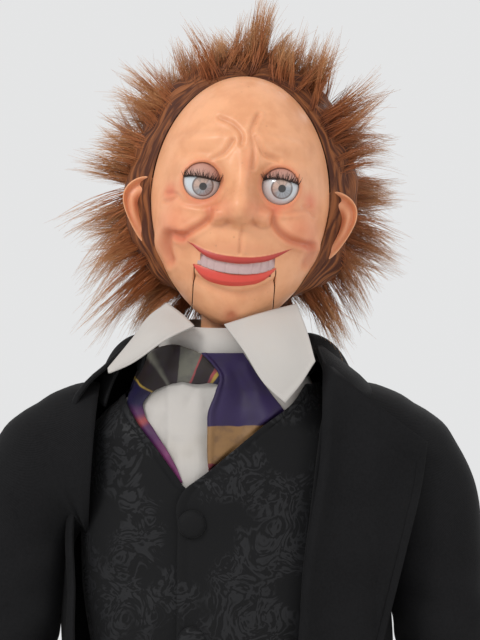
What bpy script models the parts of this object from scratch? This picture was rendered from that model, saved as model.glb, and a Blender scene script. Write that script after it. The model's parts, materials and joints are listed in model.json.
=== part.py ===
"""A ventriloquist's dummy: hollow head with a jaw on a lever, sleep eyes, a head stick, a hollow body,
hinged arms and legs, and a suit of clothes.

Metres, +Z up, the figure faces -Y and its own left side is at +X. The origin is the centre of the hand
opening, on the outer face of the body's back shell. Head pieces are modelled in the head's own frame, whose
origin is the centre of the neck ball; that frame leans a few degrees to the figure's left.
"""

import math

import bmesh
import bpy
import numpy as np
from mathutils import Matrix, Vector

# ---------------------------------------------------------------- driving dimensions
BODY_Y = -0.052  # centre plane of the body
GAP = 0.0003  # clearance between pieces that touch
ROUND = 24  # points round the body and its clothes
SOLE_Z = -0.500  # underside of the shoes

# Body: height, half width and half depth of its outer face
BODY = np.array(
    [
        (-0.110, 0.079, 0.050),
        (0.000, 0.080, 0.052),
        (0.080, 0.086, 0.053),
        (0.135, 0.088, 0.051),
        (0.163, 0.087, 0.049),
        (0.178, 0.070, 0.045),
        (0.192, 0.052, 0.042),
        (0.212, 0.046, 0.041),
    ]
)
# The jacket's inner face, fuller than the body at the shoulders
JACKET = np.array(
    [
        (-0.190, 0.0880, 0.0600),
        (-0.110, 0.0862, 0.0574),
        (0.000, 0.0870, 0.0590),
        (0.080, 0.0930, 0.0602),
        (0.140, 0.0985, 0.0602),
        (0.168, 0.0985, 0.0585),
        (0.188, 0.0850, 0.0550),
        (0.203, 0.0620, 0.0500),
        (0.214, 0.0550, 0.0490),
    ]
)
BODY_ROUNDNESS = 2.5  # exponent of the body's superellipse section
BODY_WALL = 0.004
BODY_BOTTOM, BODY_TOP = -0.0957, 0.148
BOARD_THICK = 0.014
BASE_THICK = 0.010
HAND_OPENING = (0.080, 0.110)  # width and height

# Neck and head
NECK_Z = 0.182  # centre of the neck ball
HEAD_LEAN = math.radians(4)
BALL_R = 0.0262
SEAT_R = 0.0300  # spherical seat in the socket cup
STICK_R = 0.0085
STICK_BOTTOM = -0.165
HEAD_MIDDLE = Vector((0, -0.002, 0.1365))
HEAD_HALF = Vector((0.060, 0.068, 0.0835))
HEAD_WALL = 0.0025
EYE = Vector((0.0258, -0.0505, 0.1460))
EYE_R = 0.0145
EYE_HOLE_R = 0.0124
JAW_AXLE = Vector((0, 0.012, 0.100))
JAW_HALF = 0.0265  # half the width of the moving jaw
MOUTH_Z = 0.0900
LEVER_Z = -0.105
CORD_Y = -0.0145

# Arms and legs: x is for the figure's left side
SHOULDER = Vector((0.137, BODY_Y, 0.138))
ELBOW = Vector((0.154, BODY_Y, -0.004))
WRIST = Vector((0.164, BODY_Y, -0.122))
HIP = Vector((0.044, BODY_Y - 0.004, -0.150))
KNEE = Vector((0.046, BODY_Y - 0.016, -0.305))
ANKLE = Vector((0.047, BODY_Y, -0.446))
ELBOW_BEND, KNEE_BEND = math.radians(100), math.radians(100)
ARM_R, SLEEVE_R = 0.021, 0.034
LEG_R, TROUSER_R = 0.026, 0.040
CLOTH = 0.002
BOLT_R, BORE_R = 0.003, 0.0034

# Clothes: distance of each garment's inner face from the body's outer face
SHIRT_OUT, WAISTCOAT_OUT = 0.0008, 0.0034
JACKET_CLOTH = 0.0028
JACKET_HEM, JACKET_TAIL = -0.104, -0.185
BUTTON_Z = (0.105, 0.029, -0.047)
BUTTON_R, BUTTON_THICK = 0.0088, 0.0045

SIDES = (("left", 1), ("right", -1))


# ---------------------------------------------------------------- scene, materials and small helpers
def clear_scene():
    for obj in list(bpy.data.objects):
        bpy.data.objects.remove(obj)


clear_scene()
FIGURE = bpy.data.collections.new("ventriloquist_dummy")
CUTTERS = bpy.data.collections.new("cutters")
for group in (FIGURE, CUTTERS):
    bpy.context.scene.collection.children.link(group)


def material(name, colour, roughness, metallic=0.0):
    made = bpy.data.materials.new(name)
    made.use_nodes = True
    shader = made.node_tree.nodes["Principled BSDF"]
    shader.inputs["Base Color"].default_value = (*colour, 1)
    shader.inputs["Roughness"].default_value = roughness
    shader.inputs["Metallic"].default_value = metallic
    return made


SKIN = material("painted_vinyl", (0.80, 0.48, 0.32), 0.35)
HAIR = material("hair", (0.28, 0.12, 0.055), 0.75)
LIP = material("lip_paint", (0.70, 0.05, 0.04), 0.4)
TEETH = material("teeth", (0.82, 0.74, 0.70), 0.3)
EYEBALL = material("eyeball", (0.72, 0.74, 0.76), 0.15)
WOOD = material("wood", (0.55, 0.38, 0.22), 0.6)
BOARD = material("fibreboard", (0.45, 0.36, 0.26), 0.8)
STEEL = material("steel", (0.60, 0.60, 0.62), 0.3, 1.0)
BRASS = material("brass", (0.72, 0.52, 0.22), 0.3, 1.0)
FELT = material("felt", (0.20, 0.28, 0.20), 0.95)
TWINE = material("twine", (0.70, 0.62, 0.48), 0.9)
STUFFING = material("calico", (0.75, 0.70, 0.60), 0.9)
SHIRT = material("shirt_cotton", (0.80, 0.79, 0.77), 0.85)
SUIT = material("suit_wool", (0.018, 0.018, 0.020), 0.9)
BROCADE = material("waistcoat_brocade", (0.022, 0.022, 0.024), 0.7)
SILK = material("tie_silk", (0.09, 0.04, 0.20), 0.5)
SHOE = material("shoe_leather", (0.02, 0.018, 0.017), 0.3)


def empty(name, place, turn=(0, 0, 0)):
    made = bpy.data.objects.new(name, None)
    made.location = place
    made.rotation_euler = turn
    FIGURE.objects.link(made)
    return made


HEAD = empty("head_frame", (0, BODY_Y, NECK_Z), (0, HEAD_LEAN, 0))


def keep(mesh, name, finish, parent=None, cutter=False, smooth=40):
    """Puts a mesh in the scene as a piece, or as a hidden cutter."""
    obj = bpy.data.objects.new(name, mesh)
    (CUTTERS if cutter else FIGURE).objects.link(obj)
    obj.parent = parent
    if cutter:
        obj.hide_render = True
        obj.display_type = "WIRE"
    else:
        obj.data.materials.append(finish)
        obj.data.shade_smooth()
        obj.data.set_sharp_from_angle(angle=math.radians(smooth))
    return obj


def mesh_from(bm, name, move=None):
    if move is not None:
        bmesh.ops.transform(bm, matrix=move, verts=bm.verts)
    mesh = bpy.data.meshes.new(name)
    bm.to_mesh(mesh)
    bm.free()
    return mesh


def block(name, low, high, finish=None, parent=None, bevel=0.0, turn=None, cutter=False):
    """A box between two corners, turned about its centre, with its edges rounded by bevel."""
    low, high = Vector(low), Vector(high)
    bm = bmesh.new()
    bmesh.ops.create_cube(bm, size=1.0)
    bmesh.ops.scale(bm, vec=high - low, verts=bm.verts)
    move = Matrix.Translation((low + high) / 2) @ (turn or Matrix.Identity(4))
    obj = keep(mesh_from(bm, name, move), name, finish, parent, cutter)
    if bevel:
        rounded = obj.modifiers.new("rounded", "BEVEL")
        rounded.width = bevel
        rounded.segments = 2
    return obj


AXIS_TURN = {"X": Matrix.Rotation(math.pi / 2, 4, "Y"), "Y": Matrix.Rotation(-math.pi / 2, 4, "X"), "Z": Matrix.Identity(4)}


def rod(name, start, length, radius, axis, finish=None, parent=None, cutter=False, segments=16):
    """A cylinder that starts at a point and runs along +X, +Y or +Z."""
    bm = bmesh.new()
    bmesh.ops.create_cone(
        bm, cap_ends=True, segments=segments, radius1=radius, radius2=radius, depth=length
    )
    along = AXIS_TURN[axis] @ Matrix.Translation((0, 0, length / 2))
    move = Matrix.Translation(start) @ along
    return keep(mesh_from(bm, name, move), name, finish, parent, cutter)


def ball(name, centre, radii, finish=None, parent=None, cutter=False, segments=16, turn=None):
    bm = bmesh.new()
    bmesh.ops.create_uvsphere(bm, u_segments=segments, v_segments=segments // 2 + 2, radius=1.0)
    bmesh.ops.scale(bm, vec=Vector(radii), verts=bm.verts)
    move = Matrix.Translation(centre) @ (turn or Matrix.Identity(4))
    return keep(mesh_from(bm, name, move), name, finish, parent, cutter)


def prism(name, outline, near, far, finish=None, parent=None, cutter=False):
    """A flat outline of (x, z) points, extruded along Y from near to far."""
    bm = bmesh.new()
    front = [bm.verts.new((x, near, z)) for x, z in outline]
    bm.faces.new(front)
    grown = bmesh.ops.extrude_face_region(bm, geom=bm.faces[:])
    moved = [v for v in grown["geom"] if isinstance(v, bmesh.types.BMVert)]
    bmesh.ops.translate(bm, verts=moved, vec=(0, far - near, 0))
    bmesh.ops.recalc_face_normals(bm, faces=bm.faces)
    return keep(mesh_from(bm, name), name, finish, parent, cutter)


def turned(name, profile, finish=None, parent=None, start=(0, 0, 0), towards=None, steps=14, loop=False):
    """A lathe-turned piece. The profile is (radius, height) points down its outer side from the top; a loop makes
    a ring. With towards, the piece's -Z end points from start to there."""
    mesh = bpy.data.meshes.new(name)
    edges = [(i, i + 1) for i in range(len(profile) - 1)]
    if loop:
        edges.append((len(profile) - 1, 0))
    mesh.from_pydata([(r, 0, z) for r, z in profile], edges, [])
    obj = bpy.data.objects.new(name, mesh)
    FIGURE.objects.link(obj)
    obj.parent = parent
    obj.location = start
    if towards is not None:
        down = Vector(towards) - Vector(start)
        obj.rotation_euler = down.to_track_quat("-Z", "Y").to_euler()
    mesh.materials.append(finish)
    screw = obj.modifiers.new("turned", "SCREW")
    screw.steps = screw.render_steps = steps
    screw.use_merge_vertices = True
    screw.merge_threshold = 0.00005
    screw.use_smooth_shade = True
    return obj


def boolean(obj, operation, *others):
    for other in others:
        step = obj.modifiers.new(operation.lower(), "BOOLEAN")
        step.operation = operation
        step.object = other
        step.solver = "EXACT"


def cut(obj, *cutters):
    boolean(obj, "DIFFERENCE", *cutters)


def join(obj, *parts):
    """Joins parts made as cutters to a piece."""
    boolean(obj, "UNION", *parts)


def arc(radius, first, last, count, centre=(0.0, 0.0)):
    """(r, z) points on a circle; angles in degrees above the horizontal."""
    angles = np.radians(np.linspace(first, last, count))
    return [
        (centre[0] + radius * math.cos(a), centre[1] + radius * math.sin(a)) for a in angles
    ]


# ---------------------------------------------------------------- body sections and garments
def offset_profile(out, profile):
    """A profile moved out along its own slope: heights, half widths and half depths."""
    z, half_x, half_y = profile.T
    run, rise = np.gradient(half_x), np.gradient(z)
    long = np.hypot(run, rise)
    return z - out * run / long, half_x + out * rise / long, half_y + out * rise / long


def body_ring(z, out, profile=BODY, count=ROUND):
    """Points round a profile at height z, out metres outside it, as a superellipse."""
    heights, wide, deep = offset_profile(out, profile)
    half_x, half_y = np.interp(z, heights, wide), np.interp(z, heights, deep)
    angles = np.linspace(0, 2 * math.pi, count, endpoint=False)
    power = 2 / BODY_ROUNDNESS
    cosines, sines = np.cos(angles), np.sin(angles)
    x = half_x * np.sign(cosines) * np.abs(cosines) ** power
    y = BODY_Y + half_y * np.sign(sines) * np.abs(sines) ** power
    return [Vector((a, b, z)) for a, b in zip(x, y)]


def sleeve_of_rings(name, rings, thickness, finish, parent=None):
    """A loft through rings of points, open at both ends and given a wall outwards."""
    bm = bmesh.new()
    rows = [[bm.verts.new(p) for p in ring] for ring in rings]
    for low, high in zip(rows, rows[1:]):
        for i in range(len(low)):
            j = (i + 1) % len(low)
            bm.faces.new((low[i], low[j], high[j], high[i]))
    obj = keep(mesh_from(bm, name), name, finish, parent)
    wall = obj.modifiers.new("wall", "SOLIDIFY")
    wall.thickness = thickness
    wall.offset = 1.0
    wall.use_even_offset = True
    return obj


def body_shell(name, bottom, top, out, thickness, finish, profile=BODY):
    """A shell round a profile between two heights, out metres outside it."""
    inner = [z for z in offset_profile(out, profile)[0] if bottom + 0.006 < z < top - 0.006]
    rings = [body_ring(z, out, profile) for z in [bottom, *inner, top]]
    return sleeve_of_rings(name, rings, thickness, finish)


def patch(name, outline, bottom, top, out, thickness, finish, profile=BODY):
    """A piece of cloth that lies on the front of a profile, with an outline of (x, z) points."""
    piece = body_shell(name, bottom, top, out, thickness, finish, profile)
    boolean(piece, "INTERSECT", prism(f"{name}_outline", outline, -0.3, BODY_Y - 0.004, cutter=True))
    return piece


def hand_hole(name, grow=0.0):
    """The way in for the hand, through the back of the body and of each garment."""
    wide, high = HAND_OPENING[0] / 2 + grow, HAND_OPENING[1] / 2 + grow
    return block(name, (-wide, -0.030, -high), (wide, 0.030, high), cutter=True)


# ---------------------------------------------------------------- the body
def make_body():
    front = body_shell("torso_front", BODY_BOTTOM, BODY_TOP, -BODY_WALL, BODY_WALL, BOARD)
    back = body_shell("torso_back", BODY_BOTTOM, BODY_TOP, -BODY_WALL, BODY_WALL, BOARD)
    far = 0.3
    cut(front, block("behind", (-far, BODY_Y - GAP / 2, -far), (far, far, far), cutter=True))
    cut(back, block("before", (-far, -far, -far), (far, BODY_Y + GAP / 2, far), cutter=True))
    cut(back, hand_hole("hand_hole"))

    plan = [(p.x, p.y) for p in body_ring(0.150, -0.0015)]
    shoulder = slab("shoulder_board", plan, BODY_TOP + GAP, BOARD_THICK, WOOD)
    cut(shoulder, rod("neck_hole", (0, BODY_Y, 0.13), 0.05, 0.0338, "Z", cutter=True, segments=32))
    plan = [(p.x, p.y) for p in body_ring(-0.100, -0.0005)]
    slab("base_board", plan, BODY_BOTTOM - GAP - BASE_THICK, BASE_THICK, WOOD)

    for side, sign in SIDES:
        bolt_hole = rod(f"{side}_bolt_hole", (sign * 0.110 - 0.030, BODY_Y, SHOULDER.z), 0.06, BORE_R, "X", cutter=True)
        cut(front, bolt_hole)
        cut(back, bolt_hole)
        bolt = rod(f"{side}_arm_bolt", (0.0785, BODY_Y, SHOULDER.z), 0.0715, BOLT_R, "X", STEEL)
        join(bolt, rod(f"{side}_bolt_head", (0.0745, BODY_Y, SHOULDER.z), 0.0045, 0.0065, "X", cutter=True, segments=6))
        if sign < 0:
            mirror_x(bolt)

    rod("hip_rod", (-0.078, HIP.y, HIP.z), 0.156, BOLT_R, "X", STEEL)
    hanger = block(
        "hip_hanger",
        (-0.0025, HIP.y - 0.012, HIP.z - 0.010),
        (0.0025, HIP.y + 0.012, BODY_BOTTOM - BASE_THICK - 2 * GAP),
        STEEL,
        bevel=0.0008,
    )
    cut(hanger, rod("hanger_bore", (-0.01, HIP.y, HIP.z), 0.02, BOLT_R + GAP, "X", cutter=True))


def slab(name, plan, bottom, thickness, finish):
    """A flat board: a plan outline of (x, y) points extruded upwards."""
    bm = bmesh.new()
    bm.faces.new([bm.verts.new((x, y, bottom)) for x, y in plan])
    grown = bmesh.ops.extrude_face_region(bm, geom=bm.faces[:])
    moved = [v for v in grown["geom"] if isinstance(v, bmesh.types.BMVert)]
    bmesh.ops.translate(bm, verts=moved, vec=(0, 0, thickness))
    bmesh.ops.recalc_face_normals(bm, faces=bm.faces)
    return keep(mesh_from(bm, name), name, finish)


def mirror_x(obj):
    """Reflects a finished piece, and the shapes joined to it, to the figure's right side."""
    for mesh in {obj.data, *(m.object.data for m in obj.modifiers if m.type == "BOOLEAN")}:
        mesh.transform(Matrix.Scale(-1, 4, (1, 0, 0)))
        mesh.flip_normals()


# ---------------------------------------------------------------- neck socket, neck and stick
def make_neck():
    seat = arc(SEAT_R, -8, -41.5, 7, (0, NECK_Z))
    low = seat[-1][0]
    cup = [(0.0360, NECK_Z - 0.004), (0.0360, 0.1680), (0.0410, 0.1672), (0.0410, 0.1628), (0.0335, 0.1628), (0.0335, 0.1500), (low, 0.1500)]
    turned("neck_socket_cup", cup + seat[::-1], WOOD, start=(0, BODY_Y, 0), steps=24, loop=True)

    outer = arc(SEAT_R - GAP, -9, -31, 6)
    inner = arc(BALL_R + GAP, -31, -9, 6)
    turned("neck_felt_ring", outer + inner, FELT, start=(0, BODY_Y, NECK_Z), steps=24, loop=True)

    ball_side = arc(BALL_R, 38, -57, 12)
    profile = [(0, 0.0625), (0.0205, 0.0625), *ball_side, (0, ball_side[-1][1])]
    neck = turned("neck", profile, SKIN, parent=HEAD, steps=22)
    cut(neck, rod("stick_bore", (0, 0, -0.05), 0.098, STICK_R + GAP, "Z", cutter=True, parent=HEAD))
    cut(neck, rod("cord_bore", (0, CORD_Y, -0.05), 0.14, 0.0019, "Z", cutter=True, parent=HEAD, segments=12))

    stick = rod("head_stick", (0, 0, STICK_BOTTOM), 0.0475 - STICK_BOTTOM, STICK_R, "Z", WOOD, parent=HEAD)
    cut(stick, block("lever_slot", (-0.0014, -0.02, LEVER_Z - 0.016), (0.0014, 0.02, LEVER_Z + 0.012), parent=HEAD, cutter=True))
    cut(stick, rod("lever_pin_bore", (-0.02, 0, LEVER_Z), 0.04, 0.0018, "X", cutter=True, parent=HEAD, segments=12))

    lever = block("jaw_lever", (-0.001, -0.031, LEVER_Z - 0.0025), (0.001, 0.0115, LEVER_Z + 0.0025), BRASS, parent=HEAD)
    join(lever, rod("lever_pin", (-0.0125, 0, LEVER_Z), 0.025, 0.0014, "X", cutter=True, parent=HEAD, segments=12))
    join(lever, block("finger_rest", (-0.006, -0.034, LEVER_Z - 0.001), (0.006, -0.026, LEVER_Z + 0.0035), parent=HEAD, cutter=True))

    rod("jaw_cord", (0, CORD_Y, LEVER_Z + 0.0029), 0.0862 - LEVER_Z - 0.0029, 0.0008, "Z", TWINE, parent=HEAD, segments=8)


# ---------------------------------------------------------------- the head
def head_form(name, cutter=False, grow=0.0):
    """The head's outer form: an egg, fuller in front, with the chin carried forwards and the nape drawn in."""
    bm = bmesh.new()
    bmesh.ops.create_uvsphere(bm, u_segments=24, v_segments=14, radius=1.0)
    for v in bm.verts:
        lower = max(0.0, -v.co.z)
        width = HEAD_HALF.x * (1 - 0.08 * lower)
        depth = HEAD_HALF.y * (1.04 if v.co.y > 0 else 1.0) * (1 - 0.22 * lower * (v.co.y > 0))
        v.co = Vector((v.co.x * (width + grow), v.co.y * (depth + grow) - 0.016 * lower**2, v.co.z * (HEAD_HALF.z + grow)))
    return keep(mesh_from(bm, name, Matrix.Translation(HEAD_MIDDLE)), name, SKIN, HEAD, cutter)


def hollow(obj, thickness):
    wall = obj.modifiers.new("wall", "SOLIDIFY")
    wall.thickness = thickness
    wall.offset = -1.0


def make_head():
    far = 0.3
    split = 0.012  # the head's two shells meet on this plane
    neck_way = rod("neck_way", (0, 0.0, 0.0), 0.10, 0.0208, "Z", cutter=True, parent=HEAD, segments=32)
    face = head_form("face_shell")
    hollow(face, HEAD_WALL)
    nose = ball("nose_form", (0, -0.073, 0.125), (0.012, 0.017, 0.011), cutter=True, parent=HEAD, segments=12)
    ears = [
        ball(
            f"{side}_ear_form",
            (sign * 0.068, 0.000, 0.133),
            (0.017, 0.005, 0.024),
            cutter=True,
            parent=HEAD,
            segments=12,
            turn=Matrix.Rotation(sign * math.radians(22), 4, "Y"),
        )
        for side, sign in SIDES
    ]
    join(face, nose, *ears)
    facing = Matrix.Rotation(math.radians(83), 4, "X")
    sockets = [
        ball(f"{side}_eye_socket", (sign * EYE.x, EYE.y, EYE.z), (EYE_R + 0.0022,) * 3, cutter=True, parent=HEAD, segments=14, turn=facing)
        for side, sign in SIDES
    ]
    behind_eyes = block("behind_eyes", (-0.1, EYE.y - 0.0026, 0.1), (0.1, 0.0, 0.2), parent=HEAD, cutter=True)
    for socket in sockets:
        cut(socket, behind_eyes)
    join(face, *sockets)
    balls = [
        ball(f"{side}_eye_space", (sign * EYE.x, EYE.y, EYE.z), (EYE_R + 0.0008,) * 3, cutter=True, parent=HEAD, segments=14, turn=facing)
        for side, sign in SIDES
    ]
    cut(face, *balls)
    jaw_way = block("jaw_way", (-JAW_HALF - 0.0006, -far, -far), (JAW_HALF + 0.0006, -0.004, MOUTH_Z + 0.006), parent=HEAD, cutter=True)
    eye_ways = [
        rod(f"{side}_eye_way", (sign * EYE.x, -far, EYE.z), far + EYE.y - 0.004, EYE_HOLE_R, "Y", cutter=True, parent=HEAD, segments=20)
        for side, sign in SIDES
    ]
    cut(face, jaw_way, *eye_ways, neck_way)
    cut(face, block("behind_face", (-far, split - GAP / 2, -far), (far, far, far + 0.2), parent=HEAD, cutter=True))

    back = head_form("skull_back")
    hollow(back, HEAD_WALL)
    cut(back, block("before_back", (-far, -far, -far), (far, split + GAP / 2, far + 0.2), parent=HEAD, cutter=True))
    cut(back, neck_way)

    make_jaw()
    make_eyes()
    make_teeth()
    make_wig()


def make_jaw():
    """The chin panel is the head's own form between the two slots, with a floor and two arms back to the axle."""
    jaw = head_form("jaw")
    hollow(jaw, HEAD_WALL + 0.0015)
    panel = block("jaw_limits", (-JAW_HALF, -0.2, 0.0), (JAW_HALF, -0.0235, MOUTH_Z), parent=HEAD, cutter=True)
    boolean(jaw, "INTERSECT", panel)
    cut(jaw, block("chin_swing", (-0.05, -0.0385, 0.0), (0.05, 0.0, 0.0795), parent=HEAD, cutter=True))
    join(jaw, block("jaw_floor", (-0.0245, -0.064, 0.0865), (0.0245, -0.0125, 0.0895), parent=HEAD, cutter=True))
    for side, sign in SIDES:
        x = sign * 0.0235
        join(jaw, block(f"{side}_jaw_arm", (x - 0.0012, -0.046, 0.0870), (x + 0.0012, 0.018, 0.1060), parent=HEAD, cutter=True))
    cut(jaw, rod("axle_bore", (-0.05, JAW_AXLE.y, JAW_AXLE.z), 0.10, 0.0024, "X", cutter=True, parent=HEAD, segments=16))
    rod("jaw_axle", (-0.0400, JAW_AXLE.y, JAW_AXLE.z), 0.0800, 0.0020, "X", STEEL, parent=HEAD, segments=16)

    turns, per_turn, coil_r = 5, 7, 0.0035
    low, high = 0.0902, 0.1290
    steps = turns * per_turn
    points = []
    for i in range(steps + 1):
        angle = 2 * math.pi * i / per_turn
        points.append((-0.015 + coil_r * math.cos(angle), -0.036 + coil_r * math.sin(angle), low + 0.0006 + (high - low) * i / steps))
    spring = bpy.data.curves.new("jaw_spring", "CURVE")
    spring.dimensions = "3D"
    spring.bevel_depth = 0.0005
    spring.bevel_resolution = 0
    spring.use_fill_caps = True
    line = spring.splines.new("POLY")
    line.points.add(len(points) - 1)
    for point, place in zip(line.points, points):
        point.co = (*place, 1)
    spring.materials.append(STEEL)
    coil = bpy.data.objects.new("jaw_spring", spring)
    FIGURE.objects.link(coil)
    coil.parent = HEAD


def make_eyes():
    for side, sign in SIDES:
        eye = ball(f"{side}_eye", (sign * EYE.x, EYE.y, EYE.z), (EYE_R,) * 3, EYEBALL, HEAD, segments=14)
        cut(eye, rod(f"{side}_eye_bore", (-0.05, EYE.y, EYE.z), 0.10, 0.0017, "X", cutter=True, parent=HEAD, segments=10))
    rocker = rod("eye_rocker", (-0.0348, EYE.y, EYE.z), 0.0696, 0.0014, "X", STEEL, HEAD, segments=10)
    join(
        rocker,
        rod("weight_arm", (0, EYE.y, EYE.z - 0.015), 0.015, 0.0012, "Z", cutter=True, parent=HEAD, segments=8),
        ball("lead_weight", (0, EYE.y, EYE.z - 0.0150), (0.0055, 0.0055, 0.0045), cutter=True, parent=HEAD, segments=12),
    )
    bracket = block("eye_bracket", (-0.0080, EYE.y - 0.0035, EYE.z - 0.0035), (-0.0050, EYE.y + 0.0480, EYE.z + 0.0035), STEEL, HEAD)
    cut(bracket, rod("bracket_bore", (-0.02, EYE.y, EYE.z), 0.03, 0.0017, "X", cutter=True, parent=HEAD, segments=10))
    join(bracket, block("bracket_bar", (-0.0500, EYE.y + 0.0430, EYE.z - 0.0035), (0.0500, EYE.y + 0.0470, EYE.z + 0.0035), cutter=True, parent=HEAD))


def make_teeth():
    """A row of upper teeth on a gum strip, curved like the mouth and cut apart between the teeth."""
    rings = []
    for angle in np.radians(np.linspace(-128, -52, 9)):
        out = Vector((math.cos(angle), math.sin(angle) * 0.62, 0))
        centre = Vector((0, -0.0370, 0))
        rings.append([centre + out * r + Vector((0, 0, z)) for r, z in ((0.0330, 0.0912), (0.0350, 0.0912), (0.0350, 0.1030), (0.0330, 0.1030))])
    bm = bmesh.new()
    rows = [[bm.verts.new(p) for p in ring] for ring in rings]
    for low, high in zip(rows, rows[1:]):
        for i in range(4):
            j = (i + 1) % 4
            bm.faces.new((low[i], low[j], high[j], high[i]))
    bm.faces.new(rows[0][::-1])
    bm.faces.new(rows[-1])
    bmesh.ops.recalc_face_normals(bm, faces=bm.faces)
    keep(mesh_from(bm, "upper_teeth"), "upper_teeth", TEETH, HEAD)


def make_wig():
    """The mass of hair: a bushy crescent round the crown, the back and the sides of the head."""
    wig = ball("wig", (0, 0.018, 0.164), (0.108, 0.088, 0.112), HAIR, HEAD, segments=20)
    cut(wig, head_form("scalp", cutter=True, grow=0.0010))
    ear_way = [
        ball(
            f"{side}_ear_way",
            (sign * 0.068, -0.003, 0.133),
            (0.022, 0.014, 0.030),
            cutter=True,
            parent=HEAD,
            segments=12,
            turn=Matrix.Rotation(sign * math.radians(22), 4, "Y"),
        )
        for side, sign in SIDES
    ]
    cut(wig, *ear_way)
    slope = Matrix.Rotation(math.radians(-13), 4, "X")
    cut(wig, block("face_way", (-0.2, -0.236, -0.05), (0.2, -0.020, 0.35), turn=slope, cutter=True, parent=HEAD))
    cut(wig, block("throat_way", (-0.034, -0.2, -0.05), (0.034, 0.035, 0.10), cutter=True, parent=HEAD))


# ---------------------------------------------------------------- clothes on the body
def armholes(name, radius):
    return rod(name, (-0.2, BODY_Y, SHOULDER.z), 0.4, radius, "X", cutter=True, segments=24)


def make_clothes():
    hole = hand_hole("garment_hand_hole", 0.004)
    arms = armholes("armholes", 0.024)

    shirt = body_shell("shirt", -0.054, 0.200, SHIRT_OUT, 0.0018, SHIRT)
    cut(shirt, hole, arms)
    body_shell("trousers_seat", -0.1072, -0.0545, SHIRT_OUT, 0.0020, SUIT)

    waistcoat = body_shell("waistcoat", -0.0985, 0.180, WAISTCOAT_OUT, 0.0022, BROCADE)
    v_neck = [(-0.062, 0.25), (-0.060, 0.195), (-0.026, 0.126), (0.050, 0.195), (0.056, 0.25)]
    cut(waistcoat, hole, arms, prism("v_neck", v_neck, -0.3, BODY_Y, cutter=True))

    jacket = body_shell("jacket", JACKET_TAIL, 0.202, 0, JACKET_CLOTH, SUIT, JACKET)
    cut(jacket, hole, arms)
    front_way = [(-0.084, -0.25), (0.040, -0.25), (0.050, 0.02), (0.056, 0.16), (0.046, 0.25), (-0.050, 0.25), (-0.070, 0.16), (-0.082, 0.05)]
    cut(jacket, prism("front_way", front_way, -0.3, BODY_Y, cutter=True))
    cut(jacket, block("cutaway", (-0.2, -0.3, -0.3), (0.2, BODY_Y + 0.010, JACKET_HEM), cutter=True))

    button_y = BODY_Y - np.interp(BUTTON_Z, BODY[:, 0], BODY[:, 2]) - WAISTCOAT_OUT - 0.0022
    for number, (z, y) in enumerate(zip(BUTTON_Z, button_y), 1):
        rim = [(0, BUTTON_THICK), (BUTTON_R * 0.7, BUTTON_THICK * 0.9), (BUTTON_R, BUTTON_THICK * 0.45), (BUTTON_R * 0.8, 0), (0, 0)]
        button = turned(f"waistcoat_button_{number}", rim, BROCADE, start=(-0.022, y - 2 * GAP - 0.0003, z), steps=16)
        button.rotation_euler = (math.pi / 2, 0, 0)

    make_collars()
    make_tie()


def band(name, low, high, thickness, finish):
    """A ring of cloth between two outlines, each (height, half width, half depth)."""
    levels = np.array([low, high])
    rings = [body_ring(z, 0, levels) for z in levels[:, 0]]
    return sleeve_of_rings(name, rings, thickness, finish)


def make_collars():
    band("shirt_collar_stand", (0.2003, 0.0455, 0.0415), (0.2165, 0.0475, 0.0430), 0.0018, SHIRT)
    collar = band("jacket_collar", (0.2046, 0.0610, 0.0520), (0.2160, 0.0585, 0.0500), JACKET_CLOTH, SUIT)
    cut(collar, block("collar_front_way", (-0.2, -0.3, 0.15), (0.2, BODY_Y - 0.012, 0.25), cutter=True))

    left = [(0.008, 0.192), (0.0490, 0.194), (0.0490, 0.186), (0.032, 0.166)]
    right = [(-0.014, 0.190), (-0.054, 0.195), (-0.0750, 0.184), (-0.052, 0.179)]
    for name, outline in (("left_collar_wing", left), ("right_collar_wing", right)):
        patch(name, outline, 0.150, 0.1955, 0.0046, 0.0018, SHIRT, JACKET)

    lapel = [(0.050, 0.186), (0.088, 0.182), (0.104, 0.166), (0.106, 0.130), (0.101, 0.070), (0.086, 0.000), (0.072, -0.060)]
    lapel += [(0.047, -0.060), (0.052, 0.060)]
    patch("left_lapel", lapel, -0.070, 0.1845, JACKET_CLOTH + 0.0006, 0.0022, SUIT, JACKET)


def make_tie():
    left_of_v = [(-0.058, 0.183), (-0.052, 0.187), (-0.010, 0.187), (-0.010, 0.172), (-0.034, 0.172)]
    patch("necktie_band", left_of_v, 0.150, 0.1885, WAISTCOAT_OUT + 0.0030, 0.0016, SILK)
    blade = [(-0.009, 0.186), (0.028, 0.186), (0.030, 0.168), (0.008, 0.140), (-0.012, 0.132), (-0.009, 0.168)]
    patch("necktie_blade", blade, 0.120, 0.1870, WAISTCOAT_OUT + 0.0030, 0.0016, SILK)


# ---------------------------------------------------------------- arms and legs
def side_of(place, sign):
    return Vector((place.x * sign, place.y, place.z))


def limb_sleeve(name, start, end, near, far, radii, finish):
    """A cloth tube round a limb, from near to far metres along it, with its radius running between radii."""
    start, end = Vector(start), Vector(end)
    along = (end - start).normalized()
    turn = along.to_track_quat("-Z", "Y").to_matrix()
    rings = []
    for share in (1.0, 0.5, 0.0):
        centre = start + along * (near + (far - near) * share)
        radius = radii[0] + (radii[1] - radii[0]) * share - CLOTH
        rings.append([centre + turn @ Vector((radius * math.cos(a), radius * math.sin(a), 0)) for a in np.linspace(0, 2 * math.pi, 14, endpoint=False)])
    return sleeve_of_rings(name, rings, CLOTH, finish)


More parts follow.
